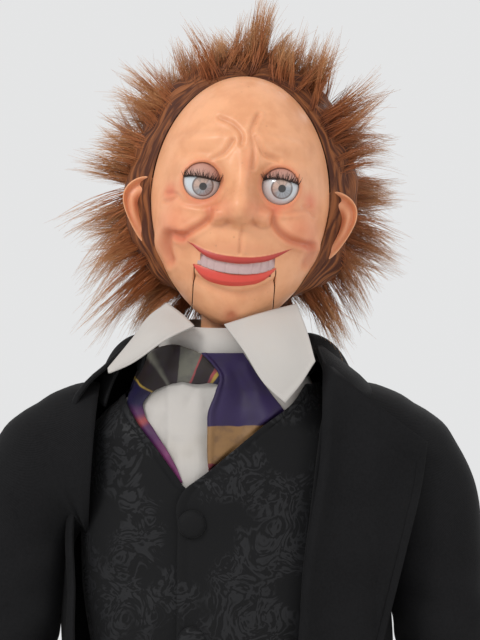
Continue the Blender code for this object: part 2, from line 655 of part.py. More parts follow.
def bend_way(name, joint, half_bend, front):
    """The wedge of cloth left out where a limb folds: as wide as half its bend above and below the joint."""
    reach = front * -0.060
    high = abs(reach) * math.tan(half_bend)
    gap = 0.0008
    outline = [(0, gap), (reach, high), (reach, -high), (0, -gap), (-reach, -gap), (-reach, gap)]
    bm = bmesh.new()
    near = [bm.verts.new((-0.05, y, z)) for y, z in outline]
    bm.faces.new(near)
    grown = bmesh.ops.extrude_face_region(bm, geom=bm.faces[:])
    moved = [v for v in grown["geom"] if isinstance(v, bmesh.types.BMVert)]
    bmesh.ops.translate(bm, verts=moved, vec=(0.1, 0, 0))
    bmesh.ops.recalc_face_normals(bm, faces=bm.faces)
    return keep(mesh_from(bm, name, Matrix.Translation(joint)), name, None, cutter=True)


def make_arm(side, sign):
    shoulder, elbow, wrist = (side_of(p, sign) for p in (SHOULDER, ELBOW, WRIST))
    upper_long, fore_long = (elbow - shoulder).length, (wrist - elbow).length

    elbow_ball = arc(0.016, 50, -90, 9, (0, -upper_long))
    profile = [*arc(ARM_R, 90, 0, 6), (ARM_R * 0.95, -upper_long + 0.030), (0.0095, -upper_long + 0.016), *elbow_ball]
    upper = turned(f"{side}_upper_arm", profile, STUFFING, start=shoulder, towards=elbow)
    cut(upper, rod(f"{side}_arm_bore", (min(0, sign * 0.153), BODY_Y, SHOULDER.z), 0.153, BORE_R, "X", cutter=True))

    profile = [(0, -0.0120), (0.0140, -0.0120), (0.0185, -0.024), (0.0175, -0.07), (0.0130, -fore_long), (0, -fore_long)]
    fore = turned(f"{side}_forearm", profile, STUFFING, start=elbow, towards=wrist)
    cut(fore, ball(f"{side}_elbow_socket", elbow, (0.0173,) * 3, cutter=True, segments=14))

    fold = bend_way(f"{side}_elbow_way", elbow, ELBOW_BEND / 2, 1)
    cap = limb_sleeve(f"{side}_sleeve_upper", shoulder, elbow, 0.006, upper_long + 0.010, (0.0330, 0.0320), SUIT)
    join(cap, shoulder_cap(f"{side}_cap", shoulder, sign))
    cut(cap, fold, above_or_below(f"{side}_above_elbow", elbow, -1))
    cuff = limb_sleeve(f"{side}_sleeve_lower", elbow, wrist, -0.010, fore_long + 0.004, (0.0320, 0.0270), SUIT)
    cut(cuff, fold, above_or_below(f"{side}_below_elbow", elbow, 1))
    make_hand(side, sign, wrist)


def above_or_below(name, joint, sign):
    """A block that starts at a joint's height and covers everything above it, or below it."""
    low, high = sorted((sign * 0.0004, sign * 0.06))
    corner = Vector((0.06, 0.06, 0))
    return block(name, joint - corner + Vector((0, 0, low)), joint + corner + Vector((0, 0, high)), cutter=True)


def shoulder_cap(name, centre, sign):
    """The rounded head of the sleeve, a dome over the shoulder bolt that is open towards the body."""
    bm = bmesh.new()
    bmesh.ops.create_uvsphere(bm, u_segments=14, v_segments=9, radius=0.0335)
    doomed = [v for v in bm.verts if v.co.z < -0.014]
    bmesh.ops.delete(bm, geom=doomed, context="VERTS")
    dome = keep(mesh_from(bm, name, Matrix.Translation(centre)), name, None, None, cutter=True)
    wall = dome.modifiers.new("wall", "SOLIDIFY")
    wall.thickness = CLOTH
    wall.offset = -1.0
    cut(dome, rod(name + "_way", (min(0, sign * centre.x * sign), BODY_Y, SHOULDER.z), abs(centre.x), 0.012, "X", cutter=True))
    return dome


def make_hand(side, sign, wrist):
    """A relaxed hand: a rounded palm with four fingers and a thumb, hanging below the cuff."""
    top = wrist + Vector((sign * 0.001, 0, -0.0015))
    palm = ball(f"{side}_hand", top + Vector((0, -0.001, -0.026)), (0.0090, 0.0200, 0.0250), SKIN, segments=12)
    for number, (y, long) in enumerate(zip((-0.0150, -0.0055, 0.0045, 0.0135), (0.026, 0.031, 0.029, 0.022)), 1):
        start = top + Vector((sign * 0.001, y, -0.040 - long * 0.5))
        join(palm, ball(f"{side}_finger_{number}", start, (0.0055, 0.0054, long * 0.62), cutter=True, segments=6))
    thumb_turn = Matrix.Rotation(math.radians(28), 4, "X")
    join(palm, ball(f"{side}_thumb", top + Vector((-sign * 0.003, -0.0225, -0.031)), (0.0058, 0.0058, 0.0180), cutter=True, segments=6, turn=thumb_turn.inverted()))


def make_leg(side, sign):
    hip, knee, ankle = (side_of(p, sign) for p in (HIP, KNEE, ANKLE))
    thigh_long, shin_long = (knee - hip).length, (ankle - knee).length

    knee_ball = arc(0.018, 50, -90, 9, (0, -thigh_long))
    profile = [*arc(LEG_R, 90, 0, 6), (LEG_R * 0.9, -thigh_long + 0.042), (0.0115, -thigh_long + 0.020), *knee_ball]
    thigh = turned(f"{side}_thigh", profile, STUFFING, start=hip, towards=knee)
    cut(thigh, rod(f"{side}_hip_bore", (-0.1, HIP.y, HIP.z), 0.2, BORE_R, "X", cutter=True))

    profile = [(0, -0.0140), (0.0140, -0.0140), (0.0200, -0.036), (0.0200, -0.08), (0.0150, -shin_long + GAP), (0, -shin_long + GAP)]
    shin = turned(f"{side}_shin", profile, STUFFING, start=knee, towards=ankle)
    cut(shin, ball(f"{side}_knee_socket", knee, (0.0194,) * 3, cutter=True, segments=14))

    fold = bend_way(f"{side}_knee_way", knee, KNEE_BEND / 2, -1)
    trouser = limb_sleeve(f"{side}_trouser_upper", hip, knee, -0.010, thigh_long + 0.010, (TROUSER_R, 0.0370), SUIT)
    cut(trouser, fold, above_or_below(f"{side}_above_knee", knee, -1))
    cut(trouser, rod(f"{side}_trouser_bore", (-0.1, HIP.y, HIP.z), 0.2, BORE_R, "X", cutter=True, segments=16))
    trouser = limb_sleeve(f"{side}_trouser_lower", knee, ankle, -0.010, shin_long - 0.004, (0.0370, 0.0370), SUIT)
    cut(trouser, fold, above_or_below(f"{side}_below_knee", knee, 1))
    make_shoe(side, sign, ankle)


def make_shoe(side, sign, ankle):
    """A laced shoe with its foot inside, as one closed form on a flat sole."""
    bm = bmesh.new()
    toe_out = math.radians(7) * sign
    sections = [  # distance forward of the heel, half width, height of the upper
        (0.000, 0.016, 0.040),
        (0.016, 0.022, 0.0530),
        (0.046, 0.022, 0.0530),
        (0.070, 0.024, 0.036),
        (0.098, 0.0255, 0.026),
        (0.118, 0.020, 0.022),
        (0.126, 0.010, 0.014),
    ]
    rows = []
    for forward, half, high in sections:
        outline = [(-half, 0), (-half, high * 0.45), (-half * 0.62, high * 0.92), (0, high), (half * 0.62, high * 0.92), (half, high * 0.45), (half, 0)]
        rows.append([bm.verts.new((x, 0.036 - forward, z)) for x, z in outline])
    for low, high in zip(rows, rows[1:]):
        for i in range(7):
            j = (i + 1) % 7
            bm.faces.new((low[i], low[j], high[j], high[i]))
    bm.faces.new(rows[0])
    bm.faces.new(rows[-1][::-1])
    bmesh.ops.recalc_face_normals(bm, faces=bm.faces)
    move = Matrix.Translation((ankle.x, BODY_Y, SOLE_Z)) @ Matrix.Rotation(toe_out, 4, "Z")
    obj = keep(mesh_from(bm, f"{side}_shoe", move), f"{side}_shoe", SHOE)
    rounded = obj.modifiers.new("rounded", "BEVEL")
    rounded.width = 0.0025
    rounded.segments = 1
    rounded.limit_method = "ANGLE"


# ---------------------------------------------------------------- assembly
make_body()
make_neck()
make_head()
make_clothes()
for side_name, side_sign in SIDES:
    make_arm(side_name, side_sign)
    make_leg(side_name, side_sign)
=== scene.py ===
# %% [markdown]
# # A ventriloquist's dummy
# This lesson dresses a jointed dummy. A imported model gives every hidden board, rod and joint at its true
# size, and the cells below lay skin, hair, cloth and leather over it. The frame comes first, because every
# later piece takes its place from it, and most of them move with one of its bodies.

# %% The frame
import json

import bmesh
import bpy
import numpy as np
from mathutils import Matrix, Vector

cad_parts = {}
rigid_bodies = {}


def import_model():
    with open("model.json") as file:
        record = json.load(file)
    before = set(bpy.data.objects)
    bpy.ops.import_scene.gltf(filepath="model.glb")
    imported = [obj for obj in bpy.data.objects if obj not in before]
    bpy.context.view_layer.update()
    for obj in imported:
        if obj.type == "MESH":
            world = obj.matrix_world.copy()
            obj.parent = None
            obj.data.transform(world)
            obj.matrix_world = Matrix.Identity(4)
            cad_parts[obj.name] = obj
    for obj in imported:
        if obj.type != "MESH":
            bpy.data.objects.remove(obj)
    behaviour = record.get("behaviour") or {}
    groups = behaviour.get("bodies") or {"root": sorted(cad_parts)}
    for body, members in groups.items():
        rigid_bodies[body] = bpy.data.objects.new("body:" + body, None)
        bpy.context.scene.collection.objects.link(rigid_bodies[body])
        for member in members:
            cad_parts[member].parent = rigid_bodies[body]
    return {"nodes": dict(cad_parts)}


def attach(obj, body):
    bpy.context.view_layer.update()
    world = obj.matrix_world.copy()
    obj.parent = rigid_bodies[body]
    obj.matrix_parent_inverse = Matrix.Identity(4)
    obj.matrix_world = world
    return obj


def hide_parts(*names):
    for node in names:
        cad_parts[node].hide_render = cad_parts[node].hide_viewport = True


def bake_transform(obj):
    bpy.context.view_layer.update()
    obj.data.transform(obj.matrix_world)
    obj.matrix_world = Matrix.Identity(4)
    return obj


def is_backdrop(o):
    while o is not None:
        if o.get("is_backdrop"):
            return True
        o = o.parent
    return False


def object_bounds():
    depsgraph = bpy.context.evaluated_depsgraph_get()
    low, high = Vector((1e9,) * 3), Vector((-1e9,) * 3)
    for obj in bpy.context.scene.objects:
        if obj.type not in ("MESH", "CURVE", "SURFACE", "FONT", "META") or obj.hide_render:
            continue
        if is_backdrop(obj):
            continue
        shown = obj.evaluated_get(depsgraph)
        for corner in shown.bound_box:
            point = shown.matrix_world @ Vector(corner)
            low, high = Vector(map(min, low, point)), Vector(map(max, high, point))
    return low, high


bpy.ops.object.select_all(action="SELECT")
bpy.ops.object.delete()
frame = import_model()
cad_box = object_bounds()
NODES = frame["nodes"]
print("nodes", len(NODES), "box", [tuple(round(v, 3) for v in corner) for corner in cad_box])

# %% [markdown]
# ## Shapes as arrays
# Nearly every piece here is a surface: a grid of points worked out by one formula, with rows one way and
# columns the other. Numpy works out all of the points at once. Welding the points that fall together closes
# seams and poles, and the rows and columns give the piece a map (UV) in metres, so that a weave has its
# true size.

# %% A surface from a grid of points
def ramp(low, high, value):
    """0 below low and 1 above high, with the smooth S-curve 3t^2 - 2t^3 in between."""
    t = np.clip((value - low) / (high - low), 0, 1)
    return t * t * (3 - 2 * t)


def bump(distance, width):
    """A bell: 1 in the middle, fading to nothing, as exp(-(distance / width)^2)."""
    return np.exp(-((distance / width) ** 2))


def mesh_of(name, points, faces, corners_uv, finish, extras=None):
    """Welds points nearer than a micrometre, drops faces that the weld flattens, and fills a mesh object."""
    _, first, welded = np.unique(np.round(points, 6), axis=0, return_index=True, return_inverse=True)
    faces = welded.reshape(-1)[faces]
    distinct = faces != np.roll(faces, -1, axis=1)
    four, three = distinct.all(axis=1), distinct.sum(axis=1) == 3
    kept = [faces[four], faces[three][distinct[three]].reshape(-1, 3)]
    uvs = [corners_uv[four], corners_uv[three][distinct[three]].reshape(-1, 3, 2)]
    mesh = bpy.data.meshes.new(name)
    mesh.from_pydata(points[first], [], [list(map(int, f)) for part in kept for f in part])
    layer = mesh.uv_layers.new(name="UVMap")
    layer.data.foreach_set("uv", np.concatenate([u.reshape(-1, 2) for u in uvs]).astype(np.float32).ravel())
    for key, values in (extras or {}).items():
        attribute = mesh.attributes.new(key, "FLOAT", "POINT")
        attribute.data.foreach_set("value", np.asarray(values, np.float32).reshape(-1)[first])
    mesh.polygons.foreach_set("use_smooth", np.ones(len(mesh.polygons), bool))
    mesh.update()
    piece = bpy.data.objects.new(name, mesh)
    bpy.context.scene.collection.objects.link(piece)
    mesh.materials.append(finish)
    return piece


def surface(name, grid, finish, closed=(False, False), size=(1.0, 1.0), extras=None, hole=None, flip=False):
    """A grid of points, rows x columns x 3, joined into quads. closed wraps the rows or the columns round,
    size is the map's length each way in metres, and hole marks the grid points whose faces are left out."""
    grid = np.asarray(grid, float)
    rows, columns = grid.shape[:2]
    index = np.arange(rows * columns).reshape(rows, columns)
    if closed[0]:
        index = np.vstack([index, index[:1]])
    if closed[1]:
        index = np.hstack([index, index[:, :1]])
    along = np.linspace(0, size[0], index.shape[0])[:, None] + 0 * index
    across = np.linspace(0, size[1], index.shape[1])[None, :] + 0 * index
    places = np.stack([across, along], -1)

    def corners(a):
        """The four corners of every quad, from the array's value at each grid point."""
        return np.stack([a[:-1, :-1], a[1:, :-1], a[1:, 1:], a[:-1, 1:]], 2).reshape(-1, 4, *a.shape[2:])

    faces, uvs = corners(index), corners(places)
    if flip:
        faces, uvs = faces[:, ::-1], uvs[:, ::-1]
    if hole is not None:
        kept = ~np.asarray(hole).reshape(-1)[faces].all(axis=1)
        faces, uvs = faces[kept], uvs[kept]
    return mesh_of(name, grid.reshape(-1, 3), faces, uvs, finish, extras)


def wall(piece, thickness, offset=-1.0):
    """Gives a sheet its thickness, inwards for offset -1 and outwards for +1, and applies it."""
    solid = piece.modifiers.new("wall", "SOLIDIFY")
    solid.thickness, solid.offset, solid.use_rim, solid.use_even_offset = thickness, offset, True, False
    return applied(piece)


def rounder(piece):
    """Cuts every face in four and smooths the corners, once."""
    soft = piece.modifiers.new("soft", "SUBSURF")
    soft.levels = soft.render_levels = 1
    return applied(piece)


def applied(piece):
    """Bakes the modifiers into the mesh."""
    graph = bpy.context.evaluated_depsgraph_get()
    graph.update()
    mesh = bpy.data.meshes.new_from_object(piece.evaluated_get(graph), depsgraph=graph)
    old = piece.data
    piece.modifiers.clear()
    piece.data = mesh
    bpy.data.meshes.remove(old)
    mesh.name = piece.name
    return piece


def joined(name, *pieces):
    """Joins finished pieces into one mesh under one name."""
    bm = bmesh.new()
    materials = []
    for piece in pieces:
        start = len(bm.faces)
        bm.from_mesh(piece.data)
        slots = [materials.index(m) if m in materials else materials.append(m) or len(materials) - 1
            for m in piece.data.materials]
        bm.faces.ensure_lookup_table()
        for face in bm.faces[start:]:
            face.material_index = slots[face.material_index]
    mesh = bpy.data.meshes.new(name)
    bm.to_mesh(mesh)
    bm.free()
    for m in materials:
        mesh.materials.append(m)
    whole = bpy.data.objects.new(name, mesh)
    bpy.context.scene.collection.objects.link(whole)
    for piece in pieces:
        bpy.data.objects.remove(piece)
    whole.name = name
    return whole


def tube(name, path, radii, finish, sides=10):
    """Circles carried along a path of points: each circle lies across the path, with its own radius. The frame
    across the path comes from the path's direction and a fixed side vector. A point closes each end."""
    path = np.asarray(path, float)
    radii = np.broadcast_to(np.asarray(radii, float), (len(path),))
    forward = np.gradient(path, axis=0)
    forward /= np.linalg.norm(forward, axis=1)[:, None]
    guide = np.where(np.abs(forward[:, :1]) > 0.9, [[0, 1.0, 0]], [[1.0, 0, 0]])
    side = np.cross(forward, guide)
    side /= np.linalg.norm(side, axis=1)[:, None]
    other = np.cross(forward, side)
    path, radii = np.vstack([path[:1], path, path[-1:]]), np.hstack([0, radii, 0])
    side, other = np.vstack([side[:1], side, side[-1:]]), np.vstack([other[:1], other, other[-1:]])
    a = np.linspace(0, 2 * np.pi, sides, endpoint=False)
    ring = np.cos(a)[None, :, None] * side[:, None, :] + np.sin(a)[None, :, None] * other[:, None, :]
    grid = path[:, None, :] + radii[:, None, None] * ring
    long = np.linalg.norm(np.diff(path, axis=0), axis=1).sum()
    return surface(name, grid, finish, closed=(False, True), size=(long, 2 * np.pi * radii.max()), flip=False)


print("shape helpers ready")

# %% [markdown]
# ## Paint as arithmetic
# A finish is a small web of nodes. Written as wires one by one it is hard to read, so a socket is wrapped
# in a class whose plus, minus and times signs each add a Math node. A mask then reads like a formula.
# Colours and vectors are kept apart and go through Mix and Vector Math nodes, because a Math node would
# turn a colour grey.

# %% Wires and finishes
class Wire:
    """One value in a finish. Arithmetic on it adds Math nodes."""

    def __init__(self, finish, socket):
        self.finish, self.socket = finish, socket

    def math(self, operation, *values):
        """One Math node fed with wires or numbers."""
        node = self.finish.add("Math", operation=operation)
        for entry, value in zip(node.inputs, values):
            self.finish.feed(entry, value)
        return Wire(self.finish, node.outputs[0])

    def __add__(self, other): return self.math("ADD", self, other)
    def __sub__(self, other): return self.math("SUBTRACT", self, other)
    def __rsub__(self, other): return self.math("SUBTRACT", other, self)
    def __mul__(self, other): return self.math("MULTIPLY", self, other)
    __radd__, __rmul__ = __add__, __mul__

    def sine(self): return self.math("SINE", self)
    def size(self): return self.math("ABSOLUTE", self)
    def least(self, other): return self.math("MINIMUM", self, other)
    def most(self, other): return self.math("MAXIMUM", self, other)

    def step(self, low, high):
        """0 below low and 1 above high, with a smooth S-curve in between."""
        return self.finish.value("MapRange", {"interpolation_type": "SMOOTHSTEP"},
            {"Value": self, "From Min": low, "From Max": high})


class Finish:
    """A material with one Principled shader. Numbers given here are set on its own sockets."""

    def __init__(self, name, **constants):
        self.material = bpy.data.materials.new(name)
        self.material.use_nodes = True
        self.tree = self.material.node_tree
        self.tree.nodes.clear()
        out = self.tree.nodes.new("ShaderNodeOutputMaterial")
        self.shader = self.tree.nodes.new("ShaderNodeBsdfPrincipled")
        self.tree.links.new(self.shader.outputs[0], out.inputs["Surface"])
        for key, value in constants.items():
            self.shader.inputs[key.replace("_", " ")].default_value = value

    def add(self, kind, **settings):
        """A new node of a type, with its settings set first."""
        node = self.tree.nodes.new("ShaderNode" + kind)
        for key, value in settings.items():
            setattr(node, key, value)
        return node

    def feed(self, entry, value):
        """Links a wire to a node's socket, or sets the socket's own number or colour."""
        if isinstance(value, Wire):
            self.tree.links.new(value.socket, entry)
        elif isinstance(value, (tuple, list)) and len(value) == 3 and entry.type == "RGBA":
            entry.default_value = (*value, 1)
        else:
            entry.default_value = value

    def value(self, kind, settings=None, inputs=None, out=0):
        """Adds a node and returns one of its outputs as a wire."""
        node = self.add(kind, **(settings or {}))
        for key, value in (inputs or {}).items():
            self.feed(node.inputs[key], value)
        return Wire(self, node.outputs[out])

    def place(self):
        """The point's place in metres, in the piece's own axes."""
        return self.value("TexCoord", out="Object")

    def map(self, along, across):
        """The piece's own map in metres, in lengths of along and across."""
        parts = self.add("SeparateXYZ")
        self.feed(parts.inputs[0], self.value("TexCoord", out="UV"))
        return Wire(self, parts.outputs[1]) * (1 / along), Wire(self, parts.outputs[0]) * (1 / across)

    def given(self, name):
        """A mask that the piece's own formula stored at its points."""
        return self.value("Attribute", {"attribute_name": name}, out="Fac")

    def noise(self, scale, detail=3.0, stretch=None, warp=0.0):
        """Soft random clouds, scale of them to the metre; stretch scales each axis and warp twists them."""
        place = self.place()
        if stretch:
            place = self.value("Mapping", {}, {"Vector": place, "Scale": stretch})
        return self.value("TexNoise", {}, {"Vector": place, "Scale": scale, "Detail": detail,
                "Roughness": 0.55, "Distortion": warp})

    def cells(self, scale):
        """The distance to the nearest of many scattered points."""
        return self.value("TexVoronoi", {"feature": "F1"}, {"Vector": self.place(), "Scale": scale})

    def mix(self, share, first, second):
        """From the first colour to the second as share goes from 0 to 1."""
        node = self.add("Mix", data_type="RGBA", clamp_factor=True)
        for entry, value in ((0, share), (6, first), (7, second)):
            self.feed(node.inputs[entry], value)
        return Wire(self, node.outputs[2])

    def paint(self, colour=None, roughness=None, height=None, depth=0.001, strength=1.0, **others):
        """Feeds the shader. height is bumps in the surface, depth metres deep where it is 1."""
        for key, value in {"Base Color": colour, "Roughness": roughness, **others}.items():
            if value is not None:
                self.feed(self.shader.inputs[key], value)
        if height is not None:
            self.feed(self.shader.inputs["Normal"], self.value("Bump", {},
                    {"Height": height, "Distance": depth, "Strength": strength}))
        return self.material


print("paint helpers ready")

# %% [markdown]
# ## Finishes
# Painted vinyl has a soft shine, faint freckles, and rouge that was sprayed on by hand, so its colour comes
# from masks that the face's own formula gives (lip, blush, crease). Cloth gets its true weave from the
# piece's map in metres, with a slow noise over it, because real cloth is never one even colour.

# %% Skin, teeth and eyes
def skin_paint(name, lips=True):
    """Painted vinyl: two mottled tones, then rouge, painted shade in the creases, freckles and lips, each mixed in
    by its own mask.
    """
    f = Finish(name, Specular_IOR_Level=0.42, Coat_Roughness=0.25, Coat_Weight=0.12, Subsurface_Weight=0.08,
        Subsurface_Scale=0.004)
    f.shader.inputs["Subsurface Radius"].default_value = (1.0, 0.35, 0.2)
    mottle, fine = f.noise(55, 4), f.noise(900, 2)
    colour = f.mix(mottle.step(0.35, 0.7), (0.80, 0.39, 0.205), (0.70, 0.315, 0.155))
    if lips:
        blush, crease, lip = f.given("blush"), f.given("crease"), f.given("lip")
        colour = f.mix((blush * (0.75 + 0.5 * mottle)).least(1.0) * 0.85, colour, (0.68, 0.17, 0.085))
        # Dark brown where the crease mask is high: painted shade in the face's grooves, nostrils and rims.
        colour = f.mix((crease * 0.55).least(0.6), colour, (0.40, 0.135, 0.06))
        spots = f.cells(150).step(0.16, 0.05) * f.noise(28, 2).step(0.52, 0.62)
        colour = f.mix(spots * 0.35, colour, (0.42, 0.18, 0.085))
        red = f.mix(f.given("upper"), (0.66, 0.050, 0.035), (0.40, 0.024, 0.022))
        red = f.mix(f.noise(420, 3, stretch=(1, 1, 0.25)) * 0.5, red, (0.46, 0.03, 0.025))
        mask = lip.step(-0.00025, 0.00055)
        colour = f.mix(mask * 0.95, colour, red)
    return f.paint(colour, 0.40 + 0.14 * mottle, fine * 0.6 + f.noise(260, 2), depth=0.00022, strength=0.35)


SKIN = skin_paint("painted_vinyl")
PLAIN_SKIN = skin_paint("plain_vinyl", lips=False)

f = Finish("tooth_enamel", Specular_IOR_Level=0.5, Coat_Weight=0.3, Coat_Roughness=0.15)
# Both enamel tones are darker than the teeth's own colour, the teeth as they look in the lips' shade: a painted
# shade. The crease mask adds dark red in the gaps between teeth, also painted shade, and towards the top edge under
# the upper lip.
gap_shade_and_dark_top = f.given("crease")
TEETH = f.paint(f.mix(gap_shade_and_dark_top, f.mix(f.noise(500, 2), (0.56, 0.40, 0.385), (0.46, 0.31, 0.31)),
        (0.14, 0.04, 0.045)), 0.28 + 0.1 * f.noise(700), f.noise(900), 0.0001, 0.3)

f = Finish("mouth_lining", Specular_IOR_Level=0.3)
DARK_MOUTH = f.paint(f.mix(f.noise(200), (0.10, 0.012, 0.012), (0.05, 0.008, 0.008)), 0.6, f.noise(400),
    0.0003, 0.4)

f = Finish("eyeball", Specular_IOR_Level=0.5, Coat_Weight=1.0, Coat_Roughness=0.04)
along, around = f.map(1.0, 1.0)
ray = f.value("TexNoise", {"noise_dimensions": "2D"}, {
        "Vector": f.value("CombineXYZ", {}, {0: along * 120, 1: around * 42}), "Scale": 1.0, "Detail": 3})
warm = (around * 6.2832 + 0.6).sine() * 0.5 + 0.5
iris = f.mix(warm.step(0.25, 0.85), (0.33, 0.36, 0.40), (0.52, 0.36, 0.29))
iris = f.mix(ray.step(0.35, 0.75) * 0.55, iris, (0.16, 0.13, 0.12))
iris = f.mix(along.step(0.0056, 0.0070), iris, (0.13, 0.10, 0.095))
white = f.mix(f.noise(90, 3), (0.62, 0.66, 0.69), (0.52, 0.55, 0.58))
colour = f.mix(along.step(0.0070, 0.0078), iris, white)
colour = f.mix(along.step(0.0028, 0.0022), colour, (0.016, 0.012, 0.012))
EYE_PAINT = f.paint(colour, 0.18 + 0.08 * ray, f.noise(300), 0.0001, 0.15)

f = Finish("eyelid", Specular_IOR_Level=0.4)
along, around = f.map(1.0, 1.0)
edge = along.step(0.0017, 0.0005)
lid_colour = f.mix(f.noise(160, 3), (0.56, 0.31, 0.24), (0.42, 0.21, 0.17))
EYELID = f.paint(f.mix(edge * 0.9, lid_colour, (0.045, 0.03, 0.028)), 0.42 + 0.1 * f.noise(400), f.noise(800),
    0.0002, 0.3)

f = Finish("lash", Specular_IOR_Level=0.2)
LASH = f.paint(f.mix(f.noise(600), (0.03, 0.02, 0.018), (0.075, 0.045, 0.035)), 0.6, f.noise(2000), 0.0001,
    0.2)

f = Finish("wig_hair", Specular_IOR_Level=0.45, Anisotropic=0.4)
tip, tone = f.given("tip"), f.given("tone")
# Dark at the roots, a painted shade deep in the wig, and light towards the tips, a painted highlight.
hair = f.mix(tip.step(0.0, 0.42), (0.130, 0.032, 0.012), (0.380, 0.118, 0.034))
hair = f.mix(tip.step(0.40, 1.0) * (0.45 + 0.55 * tone), hair, (0.62, 0.34, 0.150))
hair = f.mix(tone.step(0.50, 0.0) * 0.45, hair, (0.16, 0.048, 0.018))
hair = f.mix(f.noise(70, 2).step(0.5, 0.75) * 0.35, hair, (0.50, 0.20, 0.065))
HAIR = f.paint(hair, 0.42 + 0.2 * tone, f.noise(1500), 0.0001, 0.2)

f = Finish("wig_base", Specular_IOR_Level=0.25)
along, around = f.map(0.02, 0.0016)
streak = f.value("TexNoise", {"noise_dimensions": "2D"},
    {"Vector": f.value("CombineXYZ", {}, {0: along, 1: around}), "Scale": 1.0, "Detail": 4,
        "Distortion": 0.6})
base = f.mix(streak.step(0.35, 0.7), (0.070, 0.019, 0.008), (0.27, 0.092, 0.030))
WIG_BASE = f.paint(base, 0.6, streak, 0.002, 0.8)
print("skin, teeth, eye and hair finishes")

# %% Cloth
PI = 3.1416


def woven(name, first, second, pitch, fuzz=0.0, roughness=0.85, depth=0.00012, twill=0.0, soil=None,
        **constants):
    """Threads along and across: |sin| ridges a pitch apart, shifted along for a twill, with noise over them."""
    f = Finish(name, **constants)
    along, across = f.map(pitch, pitch)
    warp = (PI * (across + twill * along)).sine().size()
    weft = (PI * (along - twill * across)).sine().size()
    thread = warp.most(weft) if not twill else warp
    slow, fine = f.noise(26, 4), f.noise(650, 3)
    share = (0.45 * slow + 0.35 * thread + fuzz * fine).step(0.3, 0.95)
    colour = f.mix(share, first, second)
    if soil:
        colour = f.mix(slow.step(0.5, 0.75) * 0.5, colour, soil)
    return f.paint(colour, roughness - 0.1 * thread + 0.1 * slow, thread * 0.7 + fine * (0.3 + fuzz), depth,
        0.6)


SUIT = woven("suit_wool", (0.0030, 0.0031, 0.0036), (0.0105, 0.0105, 0.0115), 0.0011, fuzz=0.5,
    roughness=0.85, twill=1.0, Sheen_Weight=0.02, Sheen_Roughness=0.4, Specular_IOR_Level=0.12)
SHIRT = woven("shirt_cotton", (0.47, 0.445, 0.42), (0.61, 0.585, 0.56), 0.0006, roughness=0.88,
    soil=(0.48, 0.44, 0.39), Specular_IOR_Level=0.25)
CALICO = woven("stuffed_calico", (0.52, 0.45, 0.34), (0.66, 0.60, 0.48), 0.0008, roughness=0.92,
    soil=(0.5, 0.4, 0.28), Specular_IOR_Level=0.2)

f = Finish("waistcoat_brocade", Sheen_Weight=0.03, Sheen_Roughness=0.4, Specular_IOR_Level=0.22)
along, across = f.map(0.0011, 0.0011)
curl = f.noise(46, 3, warp=2.2)
vine = ((curl * 34).sine() * 0.5 + 0.5) * f.noise(22, 2).step(0.36, 0.58)
thread = (PI * (across + along)).sine().size()
BROCADE = f.paint(f.mix(vine.step(0.25, 0.8), (0.0040, 0.0041, 0.0048), (0.0120, 0.0122, 0.0138)),
    0.78 - 0.26 * vine.step(0.3, 0.9), vine * 0.8 + thread * 0.3, 0.0002, 0.6)


def silk(name, *bands):
    """Tie silk: blocks of colour along the strip, (start, colour, softness of its start), with a diagonal rib."""
    f = Finish(name, Sheen_Weight=0.06, Sheen_Roughness=0.3, Specular_IOR_Level=0.32)
    along, across = f.map(1.0, 1.0)
    drift = along + 0.004 * f.noise(60, 2) - 0.002
    colour = bands[0][1]
    for start, shade, *soft in bands[1:]:
        soft = soft[0] if soft else 0.0004
        colour = f.mix(drift.step(start - soft, start + soft), colour, shade)
    rib = ((along + across) * (PI / 0.0007)).sine().size()
    colour = f.mix(f.noise(110, 3).step(0.4, 0.7) * 0.35, colour, (0.02, 0.012, 0.03))
    return f.paint(colour, 0.42 + 0.12 * rib, rib, 0.0001, 0.5)


print("wool, cotton, calico, brocade and silk")


# %% Leather, wood, metal, board, felt and twine
def leather(name, first, second, roughness):
    """Polished leather: a fine cell grain, duller where it is worn."""
    f = Finish(name, Coat_Weight=0.35, Coat_Roughness=0.2, Specular_IOR_Level=0.5)
    grain, wear = f.cells(1100), f.noise(36, 4)
    return f.paint(f.mix(wear.step(0.4, 0.75), first, second), roughness + 0.18 * wear,
        grain * 0.6 + f.noise(90), 0.0002, 0.5)


SHOE_LEATHER = leather("shoe_leather", (0.012, 0.011, 0.010), (0.030, 0.026, 0.024), 0.24)
SOLE = leather("shoe_sole", (0.05, 0.03, 0.02), (0.09, 0.055, 0.035), 0.5)


def timber(name, light, dark, ring=70.0):
    """Wood: bent rings, ring of them to the metre, and pores stretched along the grain."""
    f = Finish(name, Specular_IOR_Level=0.35)
    grain = f.value("TexWave", {"bands_direction": "X"},
        {"Vector": f.place(), "Scale": ring, "Distortion": 6.0, "Detail": 3.0, "Detail Scale": 1.6},
        out="Fac")
    pore = f.noise(420, 3, stretch=(1, 1, 0.08))
    return f.paint(f.mix(grain * 0.6 + pore.step(0.45, 0.7) * 0.4, light, dark), 0.55 + 0.2 * pore,
        grain * 0.4 + pore, 0.0003, 0.5)


def metal(name, colour, dull, roughness):
    """Bare metal with cloudy tarnish and scratches all one way."""
    f = Finish(name, Metallic=1.0)
    scratch = f.noise(180, 3, stretch=(1, 1, 12))
    return f.paint(f.mix(f.noise(60, 4).step(0.45, 0.75), colour, dull), roughness + 0.2 * scratch, scratch,
        0.00008, 0.4)


WOOD = timber("turned_wood", (0.50, 0.32, 0.17), (0.30, 0.17, 0.08))
STEEL = metal("steel", (0.56, 0.56, 0.57), (0.30, 0.27, 0.24), 0.28)
BRASS = metal("brass", (0.66, 0.45, 0.17), (0.34, 0.22, 0.10), 0.26)

f = Finish("fibreboard", Specular_IOR_Level=0.2)
fibre = f.noise(700, 3, stretch=(1, 0.3, 1))
BOARD = f.paint(f.mix(fibre.step(0.3, 0.75), (0.32, 0.23, 0.14), (0.46, 0.35, 0.23)), 0.85, fibre, 0.0004,
    0.5)

